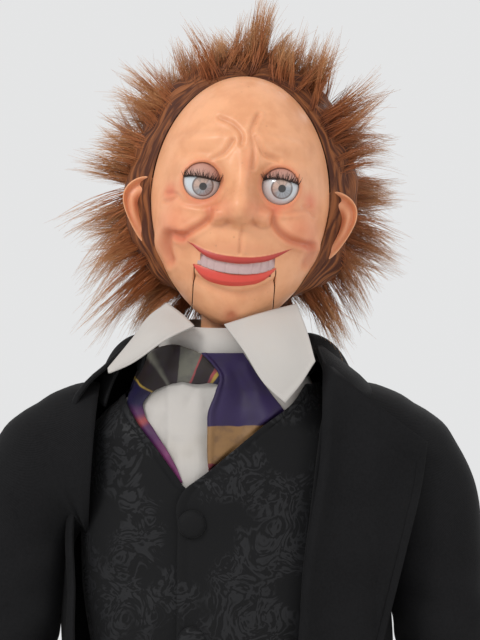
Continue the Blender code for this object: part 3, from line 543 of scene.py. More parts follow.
f = Finish("green_felt", Sheen_Weight=0.4, Specular_IOR_Level=0.1)
FELT = f.paint(f.mix(f.noise(900, 4), (0.03, 0.06, 0.035), (0.07, 0.11, 0.07)), 0.95, f.noise(1300, 3),
    0.0005, 0.7)

f = Finish("jaw_twine", Specular_IOR_Level=0.2)
twist = f.value("TexWave", {"bands_direction": "DIAGONAL"},
    {"Vector": f.place(), "Scale": 320, "Distortion": 0.5}, out="Fac")
TWINE = f.paint(f.mix(twist, (0.40, 0.33, 0.22), (0.62, 0.54, 0.40)), 0.9, twist, 0.0002, 0.8)
print("leather, wood, metal, board, felt and twine")

# %% [markdown]
# ## The head's form
# The head is an egg with grown features. Every point starts on the egg, at an angle round it and a height,
# and then moves out by a sum of bells, ridges and grooves: brow pads, nose, cheeks, smile folds and chin.
# Holes for the eyes and mouth come from a signed distance: faces inside are dropped and the points left on
# the edge are moved onto the line, so that the edge is a clean curve. Working in millimetres keeps the
# numbers readable.

# %% The egg and its features
LEAN = np.radians(4)
NECK = np.array([0.0, -0.052, 0.182])
EGG_WIDE, EGG_DEEP, EGG_TALL, EGG_MIDDLE = 60, 68, 83.5, 136.5


def to_figure(points_mm):
    """From the head's own millimetres to the figure's metres: turn by the lean about Y, then move to the neck."""
    x, y, z = np.moveaxis(np.asarray(points_mm, float) / 1000, -1, 0)
    return np.stack([x * np.cos(LEAN) + z * np.sin(LEAN), y, z * np.cos(LEAN) - x * np.sin(LEAN)], -1) + NECK


def line_distance(x, z, line):
    """The distance from each point to the nearest stretch of a broken line."""
    best = np.full(np.shape(x), 1e9)
    for (ax, az), (bx, bz) in zip(line[:-1], line[1:]):
        dx, dz = bx - ax, bz - az
        t = np.clip(((x - ax) * dx + (z - az) * dz) / (dx * dx + dz * dz), 0, 1)
        best = np.minimum(best, np.hypot(x - ax - t * dx, z - az - t * dz))
    return best


def pad(x, z, place, half, tilt=0.0, power=2.0):
    """A long soft pillow: exp(-|u|^power - v^2) in its own turned directions u and v."""
    c, s = np.cos(tilt), np.sin(tilt)
    u, v = (x - place[0]) * c + (z - place[1]) * s, (z - place[1]) * c - (x - place[0]) * s
    return np.exp(-np.abs(u / half[0]) ** power - (v / half[1]) ** 2)


def curve(x, points, steady=False):
    """A smooth line through (x, value) points: a cubic between each two, whose slopes follow their neighbours.
    steady keeps each slope under three times the gentler side's, so that the line never overshoots."""
    xs, vs = np.array(points, float).T
    slope = np.gradient(vs, xs)
    if steady:
        side = np.diff(vs) / np.diff(xs)
        before, after = np.r_[side[0], side], np.r_[side, side[-1]]
        most = 3 * np.minimum(np.abs(before), np.abs(after)) * (before * after > 0)
        slope = np.clip(slope, -most, most)
    i = np.clip(np.searchsorted(xs, x) - 1, 0, len(xs) - 2)
    gap = xs[i + 1] - xs[i]
    t = np.clip((x - xs[i]) / gap, 0, 1)
    ends = vs[i] * (1 + 2 * t) * (1 - t) ** 2 + vs[i + 1] * t * t * (3 - 2 * t)
    return ends + gap * (slope[i] * t * (1 - t) ** 2 - slope[i + 1] * t * t * (1 - t))


UPPER_TOP = [(-31.6, 107.3), (-26.2, 104.3), (-19.5, 101.5), (-12.8, 99.7), (-6.3, 98.9), (2.9, 98.5),
    (13.3, 99.3), (22.9, 101.6), (29.9, 104.3), (36.8, 107.5)]
UPPER_LOW = [(-31.6, 107.0), (-24.6, 100.5), (-19.2, 97.0), (-12.5, 94.8), (-5.9, 94.0), (0.6, 93.5),
    (7.1, 93.9), (13.6, 95.0), (21.9, 97.2), (28.2, 100.9), (36.8, 107.2)]
LOWER_TOP = [(-27.9, 92.2), (-22.0, 90.9), (-14.7, 88.9), (-5.4, 87.1), (3.0, 86.9), (10.8, 87.9),
    (19.2, 89.9), (26.8, 93.2)]
LOWER_LOW = [(-27.9, 91.6), (-22.2, 84.4), (-18.1, 81.4), (-11.4, 79.6), (-2.3, 78.9), (8.1, 80.0),
    (15.8, 82.1), (21.4, 85.8), (26.8, 92.4)]
SMILE = [
    [(-18.0, 127), (-18.9, 121.8), (-22.0, 118.3), (-26.9, 114.7), (-31.3, 111.5), (-37, 109.5)],
    [(-35, 109), (-39.7, 111.2), (-43.4, 109.6), (-45.4, 104.9), (-44.9, 99.1), (-42.4, 93.4)],
    [(22.9, 129.3), (22.8, 121.4), (27.1, 115.9), (33.9, 111.8), (41.8, 110.4), (46.5, 109.5)],
    [(46.5, 109.5), (48.5, 104.5), (46.5, 97.5)],
]
FROWN = [
    [(-17, 188), (-7, 183.5), (-1.5, 177), (-1.5, 171)],
    [(8, 191), (4.5, 181), (7, 168), (7, 156.5)],
    [(-7, 173), (-12, 165.5), (-21, 160.5)],
    [(7, 176), (14, 166), (24, 163)],
]
UNDER_EYE = [
    [(-48, 137), (-42, 137), (-37, 132.3), (-23, 129.5), (-13, 133.5), (-9.5, 141)],
    [(12, 139), (17, 132.5), (27, 129.2), (38, 131), (46, 134.5)],
    [(-49, 131), (-44, 132.5), (-41, 135)],
    [(49, 129), (45, 131.5), (41, 134.5)],
]
EYE_PLACE, EYE_HOLE = (25.8, 146.0), 12.2


def eased(line, steps=14):
    """The same line with its corners rounded: x and z as cubics of the distance along it."""
    x, z = np.array(line, float).T
    far = np.r_[0, np.cumsum(np.hypot(np.diff(x), np.diff(z)))]
    t = np.linspace(0, far[-1], steps)
    return list(zip(curve(t, list(zip(far, x))), curve(t, list(zip(far, z)))))


SMILE, FROWN, UNDER_EYE = ([eased(line) for line in lines] for lines in (SMILE, FROWN, UNDER_EYE))


def egg(z):
    """The unit ball's radius at a height, sqrt(1 - z^2), and how far the height is down the lower half."""
    unit_z = np.clip((z - EGG_MIDDLE) / EGG_TALL, -0.99999, 0.99999)
    return np.sqrt(1 - unit_z**2), np.maximum(0, -unit_z)


def features(x, z):
    """How far each point moves out along the egg's normal and straight forwards, and its paint masks."""
    side = np.abs(x)
    # brow pads, cheeks, the flesh over the mouth, and the chin with its dimple
    out = 2.4 * pad(side, z, (26, 173.5), (19, 4.6), -0.12, 4) + 1.6 * pad(x, z, (0, 197), (30, 22))
    out += -1.5 * pad(side, z, (28, 163.5), (15, 3.4), -0.05, 4)
    out += 1.5 * pad(side, z, (27, 128.5), (17, 3.8), 0.03, 4) - 1.2 * pad(side, z, (54, 150), (6, 16))
    out += 5.2 * pad(side, z, (39.5, 118.5), (11.5, 9.5), 0.25) + 2.8 * pad(side, z, (51, 104), (4.2, 12))
    out += 2.6 * pad(x, z, (1.5, 109.5), (23, 9.5), 0, 3)
    out += 3.6 * pad(x, z, (-1, 63.5), (15, 9.5)) - 1.9 * bump(np.hypot(x + 0.5, z - 61.8), 2.9)
    out += 1.6 * pad(side, z, (40, 84), (9, 11))
    # grooves along drawn lines, each with a soft fold raised beside it
    groove = np.zeros(np.shape(x))
    for line, deep, wide in [(SMILE[0], 1.9, 1.9), (SMILE[1], 2.0, 2.6), (SMILE[2], 1.8, 1.9),
            (SMILE[3], 1.5, 2.6), *[(l, 1.25, 1.45) for l in FROWN], *[(l, 0.75, 1.3) for l in UNDER_EYE]]:
        d = line_distance(x, z, line)
        groove = np.maximum(groove, deep * bump(d, wide))
        out += 0.38 * deep * bump(d - wide * 2.1, wide)
    chin_line = curve(x, [(-27, 84), (-19.3, 80.0), (-11.3, 77.0), (-3.3, 75.2), (8.4, 75.6), (17.9, 79.0),
            (27, 85)])
    groove = np.maximum(groove, 1.5 * bump(z - chin_line + 0.6, 2.4) * (side < 27))
    groove = np.maximum(groove, 1.0 * bump(x - 2.2, 1.1) * ramp(98.8, 101, z) * ramp(119.5, 116, z))
    out += 0.5 * bump(x - 5.6, 1.8) * ramp(99, 102, z) * ramp(119, 115, z)
    out -= groove
    # the lips swell quickly from their drawn edges, as a small power of the distance inside them
    upper_top, upper_low = curve(x, UPPER_TOP), curve(x, UPPER_LOW)
    lower_top, lower_low = curve(x, LOWER_TOP), curve(x, LOWER_LOW)
    upper = np.minimum(upper_top - z, z - upper_low)
    lower = np.minimum(lower_top - z, z - lower_low)
    upper = np.where((x > -31.5) & (x < 36.7), upper, -1.0)
    lower = np.where((x > -27.6) & (x < 26.6), lower, -1.0)
    out += 1.9 * np.clip(upper / 2.4, 0, 1) ** 0.55 + 2.6 * np.clip(lower / 4.0, 0, 1) ** 0.6
    # the nose: a rising bridge with a ball at its end, and two wings
    profile = curve(z, [(108, 0), (113, 0.3), (116, 1.5), (118.5, 6.5), (120.5, 11.2), (123, 14.6),
            (127, 16.9), (131, 17.3), (135, 15.6), (139, 12.2), (143, 9.4), (150, 6.6), (158, 4.4),
            (165, 2.6), (172, 1.0), (180, 0)])
    wide = curve(z, [(110, 9), (118, 9.6), (124, 11.2), (130, 11.6), (136, 9.2), (143, 6.6), (155, 5.8),
            (170, 6.5)])
    nose = profile * np.exp(-np.abs((x - 0.8) / wide) ** 2.7)
    wings = (7.2 * np.exp(-(np.hypot((x + 13.2) / 5.4, (z - 123.6) / 5.4) ** 3))
        + 7.2 * np.exp(-(np.hypot((x - 15.6) / 5.4, (z - 124.4) / 5.4) ** 3)))
    forward = np.sqrt(nose**2 + wings**2 + 0.02) - 0.14
    nostril = (bump(np.hypot((x + 6.6) / 1.5, z - 119.4), 2.0)
        + bump(np.hypot((x - 9.6) / 1.5, z - 120.2), 2.0))
    forward -= 2.6 * nostril
    # rouge on cheeks, ears' side, nose, chin and lids, then painted shade, dark brown, in every groove, nostril and
    # rim
    blush = (0.95 * pad(side, z, (46, 138), (5, 6)) + 0.55 * pad(side, z, (40, 120), (11, 10))
        + 0.75 * bump(line_distance(x, z, SMILE[1]), 4.2))
    blush += (0.6 * bump(line_distance(x, z, SMILE[0]), 3.2) + 0.6 * bump(line_distance(x, z, SMILE[2]), 3.4)
        + 0.55 * bump(line_distance(x, z, SMILE[3]), 4))
    blush += (0.75 * bump(np.hypot(x + 0.5, z - 61.5), 4.5) + 0.4 * bump(np.hypot(side - 12, z - 128), 9)
        + 0.35 * pad(x, z, (4, 158), (4, 12)))
    rim = np.hypot(side - EYE_PLACE[0], z - EYE_PLACE[1])
    blush += (0.5 * bump(rim - 13.2, 1.8) + 0.35 * pad(side, z, (26, 131), (14, 3.5))
        + 0.25 * pad(x, z, (0, 104), (30, 5)))
    # The crease mask is painted shade: grooves, nostrils, the eye holes' rims, round the nose's wings and under its
    # ball, and a faint line over the brow pads.
    crease = (groove * 0.34 + 0.75 * nostril + 0.55 * bump(rim - 12.2, 0.55)
        + 0.18 * pad(side, z, (26, 178.5), (17, 1.8), -0.12, 4))
    crease += (0.55 * bump(np.hypot(x - 15.6, z - 124.4) - 6.6, 1.0) * ramp(3, -3, z - 125)
        + 0.30 * bump(np.hypot(x + 13.2, z - 123.6) - 6.6, 1.0) * ramp(3, -3, z - 125))
    crease += (0.28 * bump(np.hypot((x - 0.8) / 1.1, z - 129) - 10.2, 1.3) * ramp(2, -5, z - 125)
        + 0.22 * bump(x - 11.5, 1.2) * bump(z - 132, 6))
    return (out, forward, {"lip": np.maximum(upper, lower) / 1000, "upper": (upper > lower) * 1.0,
            "blush": np.clip(blush, 0, 1.2), "crease": np.clip(crease, 0, 1)})


def head_skin(angle, z):
    """A point of the head: on the egg at an angle from the front and a height, moved out by the features."""
    k, lower = egg(z)
    back = np.cos(angle) < 0
    wide = EGG_WIDE * (1 - 0.08 * lower)
    deep = EGG_DEEP * np.where(back, 1.04 * (1 - 0.22 * lower), 1.0)
    x, y = k * np.sin(angle) * wide, -k * np.cos(angle) * deep
    out, forward, paint = features(x, z)
    front = ramp(-0.05, 0.35, np.cos(angle))
    normal = np.stack([x / wide**2, y / deep**2, (z - EGG_MIDDLE) / EGG_TALL**2], -1)
    normal /= np.linalg.norm(normal, axis=-1, keepdims=True)
    y = y - 2 - 16 * lower**2
    point = np.stack([x, y, z + 0 * x], -1) + normal * (out * front)[..., None]
    point[..., 1] -= forward * front
    rim = np.hypot(np.abs(x) - EYE_PLACE[0], z - EYE_PLACE[1])
    near = bump(np.maximum(rim - EYE_HOLE, 0), 5.0) * 0.92 * front
    ring = -60.2 - 0.9 * bump(rim - 13.9, 1.3)
    point[..., 1] = point[..., 1] * (1 - near) + ring * near
    for key in paint:
        paint[key] = np.where(front > 0, paint[key], -0.001 if key == "lip" else 0)
    return point, paint


def hole_distance(x, z):
    """Signed distance to the openings, negative inside: two round eyes, the jaw's way and the mouth above it."""
    eyes = np.hypot(np.abs(x) - EYE_PLACE[0], z - EYE_PLACE[1]) - EYE_HOLE
    jaw_way = np.maximum(np.abs(x) - 27.0, z - 91.5)
    mouth = np.maximum(np.abs(x - 1.2) - 24.4, z - curve(x, UPPER_LOW))
    return np.minimum(eyes, np.minimum(jaw_way, mouth))


def angle_at(x, z):
    """The angle round the egg at which it is x wide: the arcsine of x over the half width at that height."""
    k, lower = egg(z)
    return np.arcsin(np.clip(x / (k * EGG_WIDE * (1 - 0.08 * lower) + 1e-9), -1, 1))


print("egg at eye height", np.round(head_skin(np.array([0.0]), np.array([146.0]))[0], 1))

# %% The face
t = np.linspace(0, 1, 290)
height = EGG_MIDDLE + EGG_TALL * np.cos(np.pi * (t + 0.055 * np.sin(2 * np.pi * t)))
s = np.linspace(-1, 1, 250)
turn = np.radians(101) * (0.72 * s + 0.28 * s**3)
A, Z = np.meshgrid(turn, height)
k, lower = egg(Z)
X = k * np.sin(A) * EGG_WIDE * (1 - 0.08 * lower)
distance = np.where(np.cos(A) > 0, hole_distance(X, Z), 9.0)
hole = distance < 0
around = [np.roll(hole, (down - 1, over - 1), (0, 1)) for down, over in np.ndindex(3, 3)]
beside = hole & ~np.all(around, axis=0)
STEP = 0.02
for _ in range(3):  # each round moves the edge's points down the distance's slope, onto the line
    d = hole_distance(X, Z)
    gx = (hole_distance(X + STEP, Z) - hole_distance(X - STEP, Z)) / (2 * STEP)
    gz = (hole_distance(X, Z + STEP) - hole_distance(X, Z - STEP)) / (2 * STEP)
    length = np.maximum(gx**2 + gz**2, 0.05)
    X = np.where(beside, X - d * gx / length, X)
    Z = np.where(beside, Z - d * gz / length, Z)
A = np.where(beside, angle_at(X, Z), A)
points, paint = head_skin(A, Z)
face = surface("face", to_figure(points), SKIN, size=(0.24, 0.2), extras=paint, hole=hole, flip=False)


def rim_inwards(piece, depth, keep):
    """Draws the open edges that keep marks straight back by a depth, for the look of a shell's thickness."""
    bm = bmesh.new()
    bm.from_mesh(piece.data)
    edges = [edge for edge in bm.edges if edge.is_boundary and all(keep(v.co) for v in edge.verts)]
    grown = bmesh.ops.extrude_edge_only(bm, edges=edges)
    bmesh.ops.translate(bm, verts=[v for v in grown["geom"] if isinstance(v, bmesh.types.BMVert)],
        vec=(0, depth, 0))
    bmesh.ops.recalc_face_normals(bm, faces=bm.faces)
    bm.to_mesh(piece.data)
    bm.free()
    piece.data.polygons.foreach_set("use_smooth", np.ones(len(piece.data.polygons), bool))


rim_inwards(face, 0.0030, lambda co: co.y < -0.075)
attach(face, "head")
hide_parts("face_shell")
print("face", len(face.data.polygons), "faces")

# %% [markdown]
# ## The moving jaw
# A dummy's jaw is the middle of the chin, cut free along two slots and hung on an axle behind the mouth. It
# uses the same formula as the face, so lip and chin run on across the slots, and it gets thicker walls, a
# dark lining and two arms back to the axle.

# %% The jaw
u = np.linspace(-1, 1, 96)
v = np.linspace(0, 1, 110)
U, V = np.meshgrid(u, v)
X = 26.4 * np.sign(U) * np.abs(U) ** 0.96
top = curve(X, LOWER_TOP)
half = np.clip(np.abs(X) / 26.4, 0, 1)
bottom = 56.6 + 7.2 * half**2.3
Z = top + (bottom - top) * V
points, paint = head_skin(angle_at(X, Z), Z)
tuck = ramp(0.86, 1.0, V)
points[..., 1] += 5.0 * tuck**2
points[..., 2] -= 2.6 * tuck * (1 - 0.6 * half)
jaw_skin = surface("jaw_skin", to_figure(points), SKIN, size=(0.05, 0.053), extras=paint, flip=False)
wall(jaw_skin, 0.0032)


def plate(name, corners_mm, thickness, finish):
    """A flat four-cornered plate in the head's millimetres, made a slab."""
    grid = to_figure(np.array(corners_mm, float).reshape(2, 2, 3))
    return wall(surface(name, grid, finish), thickness, 0)


floor = plate("jaw_floor", [(-23.5, -57, 87.4), (23.5, -57, 87.4), (-23.5, -14, 87.6), (23.5, -14, 87.6)],
    0.0016, DARK_MOUTH)
arms = [plate(f"jaw_arm_{i}", [(x, -50, 84), (x, 17, 95), (x, -50, 92), (x, 17, 105)], 0.0018, DARK_MOUTH)
    for i, x in enumerate((-23.6, 23.6))]
jaw = joined("moving_jaw", jaw_skin, floor, *arms)
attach(jaw, "jaw")
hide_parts("jaw")
print("jaw", len(jaw.data.polygons), "faces")

# %% The teeth
DIVISIONS = [-21.2, -17.4, -12.9, -5.9, 2.6, 10.6, 15.7, 20.2, 23.4]
x, row = np.linspace(-23.6, 25.6, 240), np.linspace(0, 1, 26)
X, V = np.meshgrid(x, row)
low = curve(X, [(-24, 92.8), (-20.1, 91.0), (-14.7, 89.3), (-5.5, 87.6), (1.1, 87.3), (10.8, 88.0),
        (17.2, 89.5), (22.9, 92.2), (26, 94.2)])
gap = np.min([np.abs(X - d) for d in DIVISIONS], axis=0)
low = low + 0.5 * bump(gap, 0.7)
Z = low + (103.0 - low) * V
notch = bump(gap, 0.55) * (1 - 0.5 * V)
face_y = -6.1 - 58.5 * np.sqrt(1 - (X / 52) ** 2) + 0.12 * (Z - 94)
Y = face_y + 2.6 + 1.3 * notch + 1.2 * (1 - V) ** 6 + 0.25 * V
# The crease mask for the teeth: painted shade in the gaps between them, and darker towards the top edge under the
# upper lip.
teeth = surface("upper_tooth_row", to_figure(np.stack([X, Y, Z], -1)), TEETH, size=(0.015, 0.05),
    extras={"crease": np.clip(bump(gap, 0.28) * 0.9 + ramp(0.8, 1.0, V), 0, 1)})
wall(teeth, 0.0022)
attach(teeth, "head")
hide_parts("upper_teeth")
print("teeth", len(DIVISIONS) + 1)

# %% [markdown]
# ## Ears
# An ear is a cup with a rolled rim. Its outline is a closed curve, and each row of points is that outline
# drawn in towards the hollow, at a depth that falls into the cup, rises over the inner fold and rolls at
# the rim. The last rows turn behind and close the ear's back.

# %% Ears
OUTLINE = np.array([(-53, 143), (-56.5, 146.6), (-62, 149), (-68.4, 148), (-74.6, 144), (-78.2, 138),
        (-78.4, 131), (-75.8, 123.5), (-71, 114.5), (-65.4, 106.6), (-59.6, 102.2), (-55, 104), (-52, 112),
        (-51, 122), (-51, 134)], float)


def ear(side, sign):
    """One ear: at each share of the way out from the cup's middle, the outline drawn in and set at its depth.
    The outline is rounded by a cubic through four neighbouring points (Catmull-Rom)."""
    n = 96
    around = np.arange(n) / n * len(OUTLINE)
    i, t = np.floor(around).astype(int), (around % 1)[:, None]
    p0, p1, p2, p3 = (OUTLINE[(i + j) % len(OUTLINE)] for j in (-1, 0, 1, 2))
    line = (0.5 * (2 * p1 + (p2 - p0) * t + (2 * p0 - 5 * p1 + 4 * p2 - p3) * t**2
            + (3 * p1 - p0 - 3 * p2 + p3) * t**3))
    middle = np.array([-62.5, 127.0])
    share = np.array([0, 0.12, 0.25, 0.36, 0.46, 0.55, 0.64, 0.72, 0.79, 0.85, 0.90, 0.94, 0.975, 1.0, 1.01,
            0.99, 0.93, 0.8, 0.55, 0.25, 0])
    depth = np.array([2.6, 2.5, 2.2, 1.2, -0.9, -2.0, -2.1, -1.2, -0.2, -0.6, -2.1, -3.2, -3.7, -3.1, -1.6,
            0.4, 2.4, 4.2, 5.6, 6.2, 6.4])
    top = ramp(112, 132, line[:, 1])[None, :]
    low = ((1 - top) * np.array([0, 0, 0, 0.6, 1.6, 1.4, 0.6, -0.6, -1.6, -1.2, 0, 0.9, 1.3, 1, 0, 0, 0, 0, 0,
                0, 0])[:, None])
    xz = middle + share[:, None, None] * (line - middle)
    y = -1.5 + depth[:, None] + low + 0.10 * (xz[..., 0] + 62)
    grid = np.stack([-sign * xz[..., 0] + (0.5 if sign > 0 else 0), y, xz[..., 1] - (1.5 if sign > 0 else 0)],
        -1)
    front = (np.arange(len(share)) < 13)[:, None]
    blush = (front * (0.95 * bump(share[:, None] - 0.25, 0.3) + 0.45 * bump(share[:, None] - 0.82, 0.09))
        + 0 * y)
    # Painted shade, dark brown, in the cup's hollow and along the inner fold of the rim.
    crease = (front * 0.42 * (bump(share[:, None] - 0.2, 0.16) + 0.6 * bump(share[:, None] - 0.81, 0.045))
        + 0 * y)
    piece = surface(f"{side}_ear", to_figure(grid), SKIN, closed=(False, True), size=(0.05, 0.12),
        flip=sign > 0, extras={"blush": blush, "crease": crease, "lip": 0 * y - 0.001, "upper": 0 * y})
    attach(piece, "head")
    return rounder(piece)


ears = [ear("left", 1), ear("right", -1)]
print("ears", [len(e.data.polygons) for e in ears])

# %% [markdown]
# ## Sleep eyes
# Each eye is a ball on a weighted rocker that closes as the head tips back. The ball's grid has its pole at
# the pupil, so the map's first direction is the distance from the pupil, and rings and streaks of the iris
# are plain arithmetic on it. The lid is a shell a little larger than the ball, a slice turned about the
# rocker's axis, and the lashes stand along its edge.

# %% Eyes, lids and lashes
EYE_Y, BALL = -50.5, 14.3
rng = np.random.default_rng(11)


def eye(side, sign, look):
    """A ball whose pupil looks at look (x and z, millimetres from its middle), with its lid and its lashes."""
    centre = np.array([sign * EYE_PLACE[0], EYE_Y, EYE_PLACE[1]])
    polar, turn_ = np.linspace(0, np.pi, 70), np.linspace(0, 2 * np.pi, 64, endpoint=False)
    P, T = np.meshgrid(polar, turn_, indexing="ij")
    ahead = np.array([look[0], -np.sqrt(BALL**2 - look[0] ** 2 - look[1] ** 2), look[1]]) / BALL
    right = np.cross(ahead, [0, 0, 1.0])
    right /= np.linalg.norm(right)
    up = np.cross(right, ahead)
    cornea = 1 + 0.035 * bump(P, 0.42)
    grid = (centre + BALL * cornea[..., None] * (np.cos(P)[..., None] * ahead
            + np.sin(P)[..., None] * (np.cos(T)[..., None] * right + np.sin(T)[..., None] * up)))
    white = surface(f"{side}_eyeball", to_figure(grid), EYE_PAINT, closed=(False, True),
        size=(np.pi * BALL / 1000, 1.0), flip=False)
    lift = np.radians({-1: 4.5, 1: 14.0}[sign])
    tilt = np.radians({-1: 7.0, 1: -5.0}[sign])
    rise, b = np.linspace(0, 1, 36), np.linspace(-1.5, 1.5, 60)
    R, B = np.meshgrid(rise, b, indexing="ij")
    E = lift + tilt * np.sin(B) * sign + R * np.radians(112) + np.radians(3.0) * np.cos(B) ** 2
    radius = 14.62 + 0.5 * bump(R, 0.02)
    grid = (centre + np.stack([radius * np.sin(B), -radius * np.cos(B) * np.cos(E),
                radius * np.cos(B) * np.sin(E)], -1))
    lid = surface(f"{side}_lid", to_figure(grid), EYELID, size=(0.030, 0.045), flip=True)
    wall(lid, 0.0004, -1)
    hairs = 58
    b = np.linspace(-0.86, 0.86, hairs) + rng.normal(0, 0.02, hairs)
    e0 = lift + tilt * np.sin(b) * sign + np.radians(3.0) * np.cos(b) ** 2
    root = np.stack([np.sin(b), -np.cos(b) * np.cos(e0), np.cos(b) * np.sin(e0)], -1)
    length = rng.uniform(2.8, 6.4, hairs) * (1 + 0.15 * np.abs(b))
    fan = np.stack([0.55 * np.sin(b) + rng.normal(0, 0.30, hairs), -0.25 + 0 * b, 1.0 + 0 * b], -1)
    fan /= np.linalg.norm(fan, axis=1)[:, None]
    q = np.linspace(0, 1, 6)[None, :, None]
    path = (centre + 14.95 * root[:, None, :] + length[:, None, None]
        * (q * (1 - q) * 1.1 * np.array([0, -1.0, -0.2]) + q * fan[:, None, :] * (0.35 + 0.65 * q)
            + q * (1 - q) * 0.4 * root[:, None, :]))
    lashes = strands(f"{side}_lashes", to_figure(path), 0.00034, LASH)
    for piece, slot_ in ((white, "eyeball"), (lid, "skin"), (lashes, "hair")):
        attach(piece, "eyes")
    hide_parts(f"{side}_eye")
    return white


def strands(name, paths, radius, finish, tone=None, sides=3):
    """Many thin hairs at once: paths is hairs x points x 3, and each gets a ring of 3 points at every path point
    that narrows to its end. All rings are worked out together, and shared corner numbers join them into quads."""
    paths = np.asarray(paths, float)
    n, m = paths.shape[:2]
    forward = np.gradient(paths, axis=1)
    forward /= np.linalg.norm(forward, axis=2, keepdims=True) + 1e-12
    guide = np.where(np.abs(forward[..., 2:]) > 0.9, [1.0, 0, 0], [0, 0, 1.0])
    a = np.cross(forward, guide)
    a /= np.linalg.norm(a, axis=2, keepdims=True) + 1e-12
    b = np.cross(forward, a)
    share = np.linspace(0, 1, m)
    r = np.broadcast_to(np.asarray(radius, float), (n,))[:, None] * (1 - 0.86 * share**1.4)[None, :]
    turn_ = np.linspace(0, 2 * np.pi, sides, endpoint=False)
    ring = np.cos(turn_)[:, None] * a[:, :, None, :] + np.sin(turn_)[:, None] * b[:, :, None, :]
    points = (paths[:, :, None, :] + r[:, :, None, None] * ring).reshape(-1, 3)
    index = np.arange(n * m * sides).reshape(n, m, sides)
    wrapped = np.concatenate([index, index[:, :, :1]], 2)
    quads = np.stack([wrapped[:, :-1, :-1], wrapped[:, :-1, 1:], wrapped[:, 1:, 1:], wrapped[:, 1:, :-1]],
        -1).reshape(-1, 4)
    ends = np.concatenate([index[:, 0, ::-1], index[:, -1, :]])
    mesh = bpy.data.meshes.new(name)
    mesh.vertices.add(len(points))
    mesh.vertices.foreach_set("co", points.astype(np.float32).ravel())
    loops = np.concatenate([quads.ravel(), ends.ravel()])
    totals = np.concatenate([np.full(len(quads), 4), np.full(len(ends), 3)])
    mesh.loops.add(len(loops))
    mesh.loops.foreach_set("vertex_index", loops.astype(np.int32))
    mesh.polygons.add(len(totals))
    mesh.polygons.foreach_set("loop_start", np.concatenate([[0], np.cumsum(totals)[:-1]]).astype(np.int32))
    mesh.polygons.foreach_set("loop_total", totals.astype(np.int32))
    for key, values in (("tip", np.broadcast_to(share[None, :, None], (n, m, sides))),
            ("tone", np.broadcast_to((np.zeros(n) if tone is None else tone)[:, None, None], (n, m, sides)))):
        mesh.attributes.new(key, "FLOAT", "POINT").data.foreach_set("value",
            values.astype(np.float32).ravel())
    mesh.polygons.foreach_set("use_smooth", np.ones(len(totals), bool))
    mesh.update(calc_edges=True)
    mesh.validate()
    mesh.materials.append(finish)
    piece = bpy.data.objects.new(name, mesh)
    bpy.context.scene.collection.objects.link(piece)
    return piece


eye("left", 1, (1.1, -1.6))
eye("right", -1, (1.2, -3.7))
print("eyes set, lids and lashes on them")

# %% [markdown]
# ## The wig
# A cheap wig is long fur on a backing: locks that share a root and run together to a point. Drawing a
# hundred thousand hairs is too heavy, so a streaked mass fills the inside and some twenty-five thousand
# tapered hairs stand out of it in locks. Roots lie on the egg behind the hairline on an even spiral, and
# each hair is its lock's path plus a small offset that closes towards the tip.

# %% The wig's mass
rng = np.random.default_rng(5)


def scalp(u):
    """A point of the plain egg in a unit direction, in the head's millimetres."""
    lower = np.maximum(0, -u[..., 2])
    deep = EGG_DEEP * np.where(u[..., 1] > 0, 1.04 * (1 - 0.22 * lower), 1.0)
    return np.stack([EGG_WIDE * (1 - 0.08 * lower) * u[..., 0], deep * u[..., 1] - 2 - 16 * lower**2,
            EGG_MIDDLE + EGG_TALL * u[..., 2]], -1)


A, T = np.meshgrid(np.radians(np.linspace(86, 274, 130)), np.radians(np.linspace(0.5, 140, 100)))
u = np.stack([np.sin(T) * np.sin(A), -np.sin(T) * np.cos(A), np.cos(T)], -1)
root = scalp(u)
out = root - np.array([0, -6.0, 128])
out /= np.linalg.norm(out, axis=-1, keepdims=True)
from_front = np.minimum(A - A.min(), A.max() - A) * np.sin(T) * 62
lumps = (np.sin(9 * A + 3 * np.sin(5 * T)) * np.sin(8 * T + 2 * np.sin(7 * A))
    + 0.6 * np.sin(23 * A + 5 * T) * np.sin(19 * T))
high = (19 + 3.2 * lumps) * np.sqrt(ramp(0, 16, from_front)) * ramp(np.radians(141), np.radians(112), T) + 0.8
mass = surface("wig_mass", to_figure(root + out * high[..., None]), WIG_BASE, size=(0.16, 0.20), flip=False)
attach(mass, "head")
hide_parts("wig")
print("wig mass", len(mass.data.polygons), "faces")

# %% Roots and locks
GOLDEN_ANGLE = 2.39996
n = 6400
i = np.arange(n) + 0.5
z_unit = 1 - 2 * i / n
spiral = np.stack([np.sqrt(1 - z_unit**2) * np.cos(GOLDEN_ANGLE * i),
        np.sqrt(1 - z_unit**2) * np.sin(GOLDEN_ANGLE * i), z_unit], -1)
spiral += rng.normal(0, 0.012, spiral.shape)
spiral /= np.linalg.norm(spiral, axis=1)[:, None]
root = scalp(spiral)
line = np.where(root[:, 2] > 152, -1.5, 5.0)
wanted = (root[:, 1] > line) & (root[:, 2] > 74 + 10 * (np.abs(root[:, 0]) > 35))
spare = (root[:, 1] > 34) & (np.arange(n) % 2 == 1)
roots = root[wanted & ~spare]
locks = len(roots)
away = roots - np.array([0, -2.0, 124])
away[:, 1] *= 0.75
away /= np.linalg.norm(away, axis=1)[:, None]
centres = rng.permutation(locks)[:150]
tuft = np.argmin(((roots[:, None, :] - roots[None, centres, :]) ** 2).sum(-1), axis=1)
swept = rng.normal(0, 0.34, (len(centres), 3)) + np.array([0, 0.10, 0.02])
away += swept[tuft] + rng.normal(0, 0.13, (locks, 3))
away /= np.linalg.norm(away, axis=1)[:, None]
tuft_length = rng.uniform(0.80, 1.20, len(centres)) + 0.30 * (rng.random(len(centres)) > 0.84)
length = (32 + 15 * rng.random(locks) + 13 * ramp(30, 50, np.abs(roots[:, 0]))) * tuft_length[tuft]
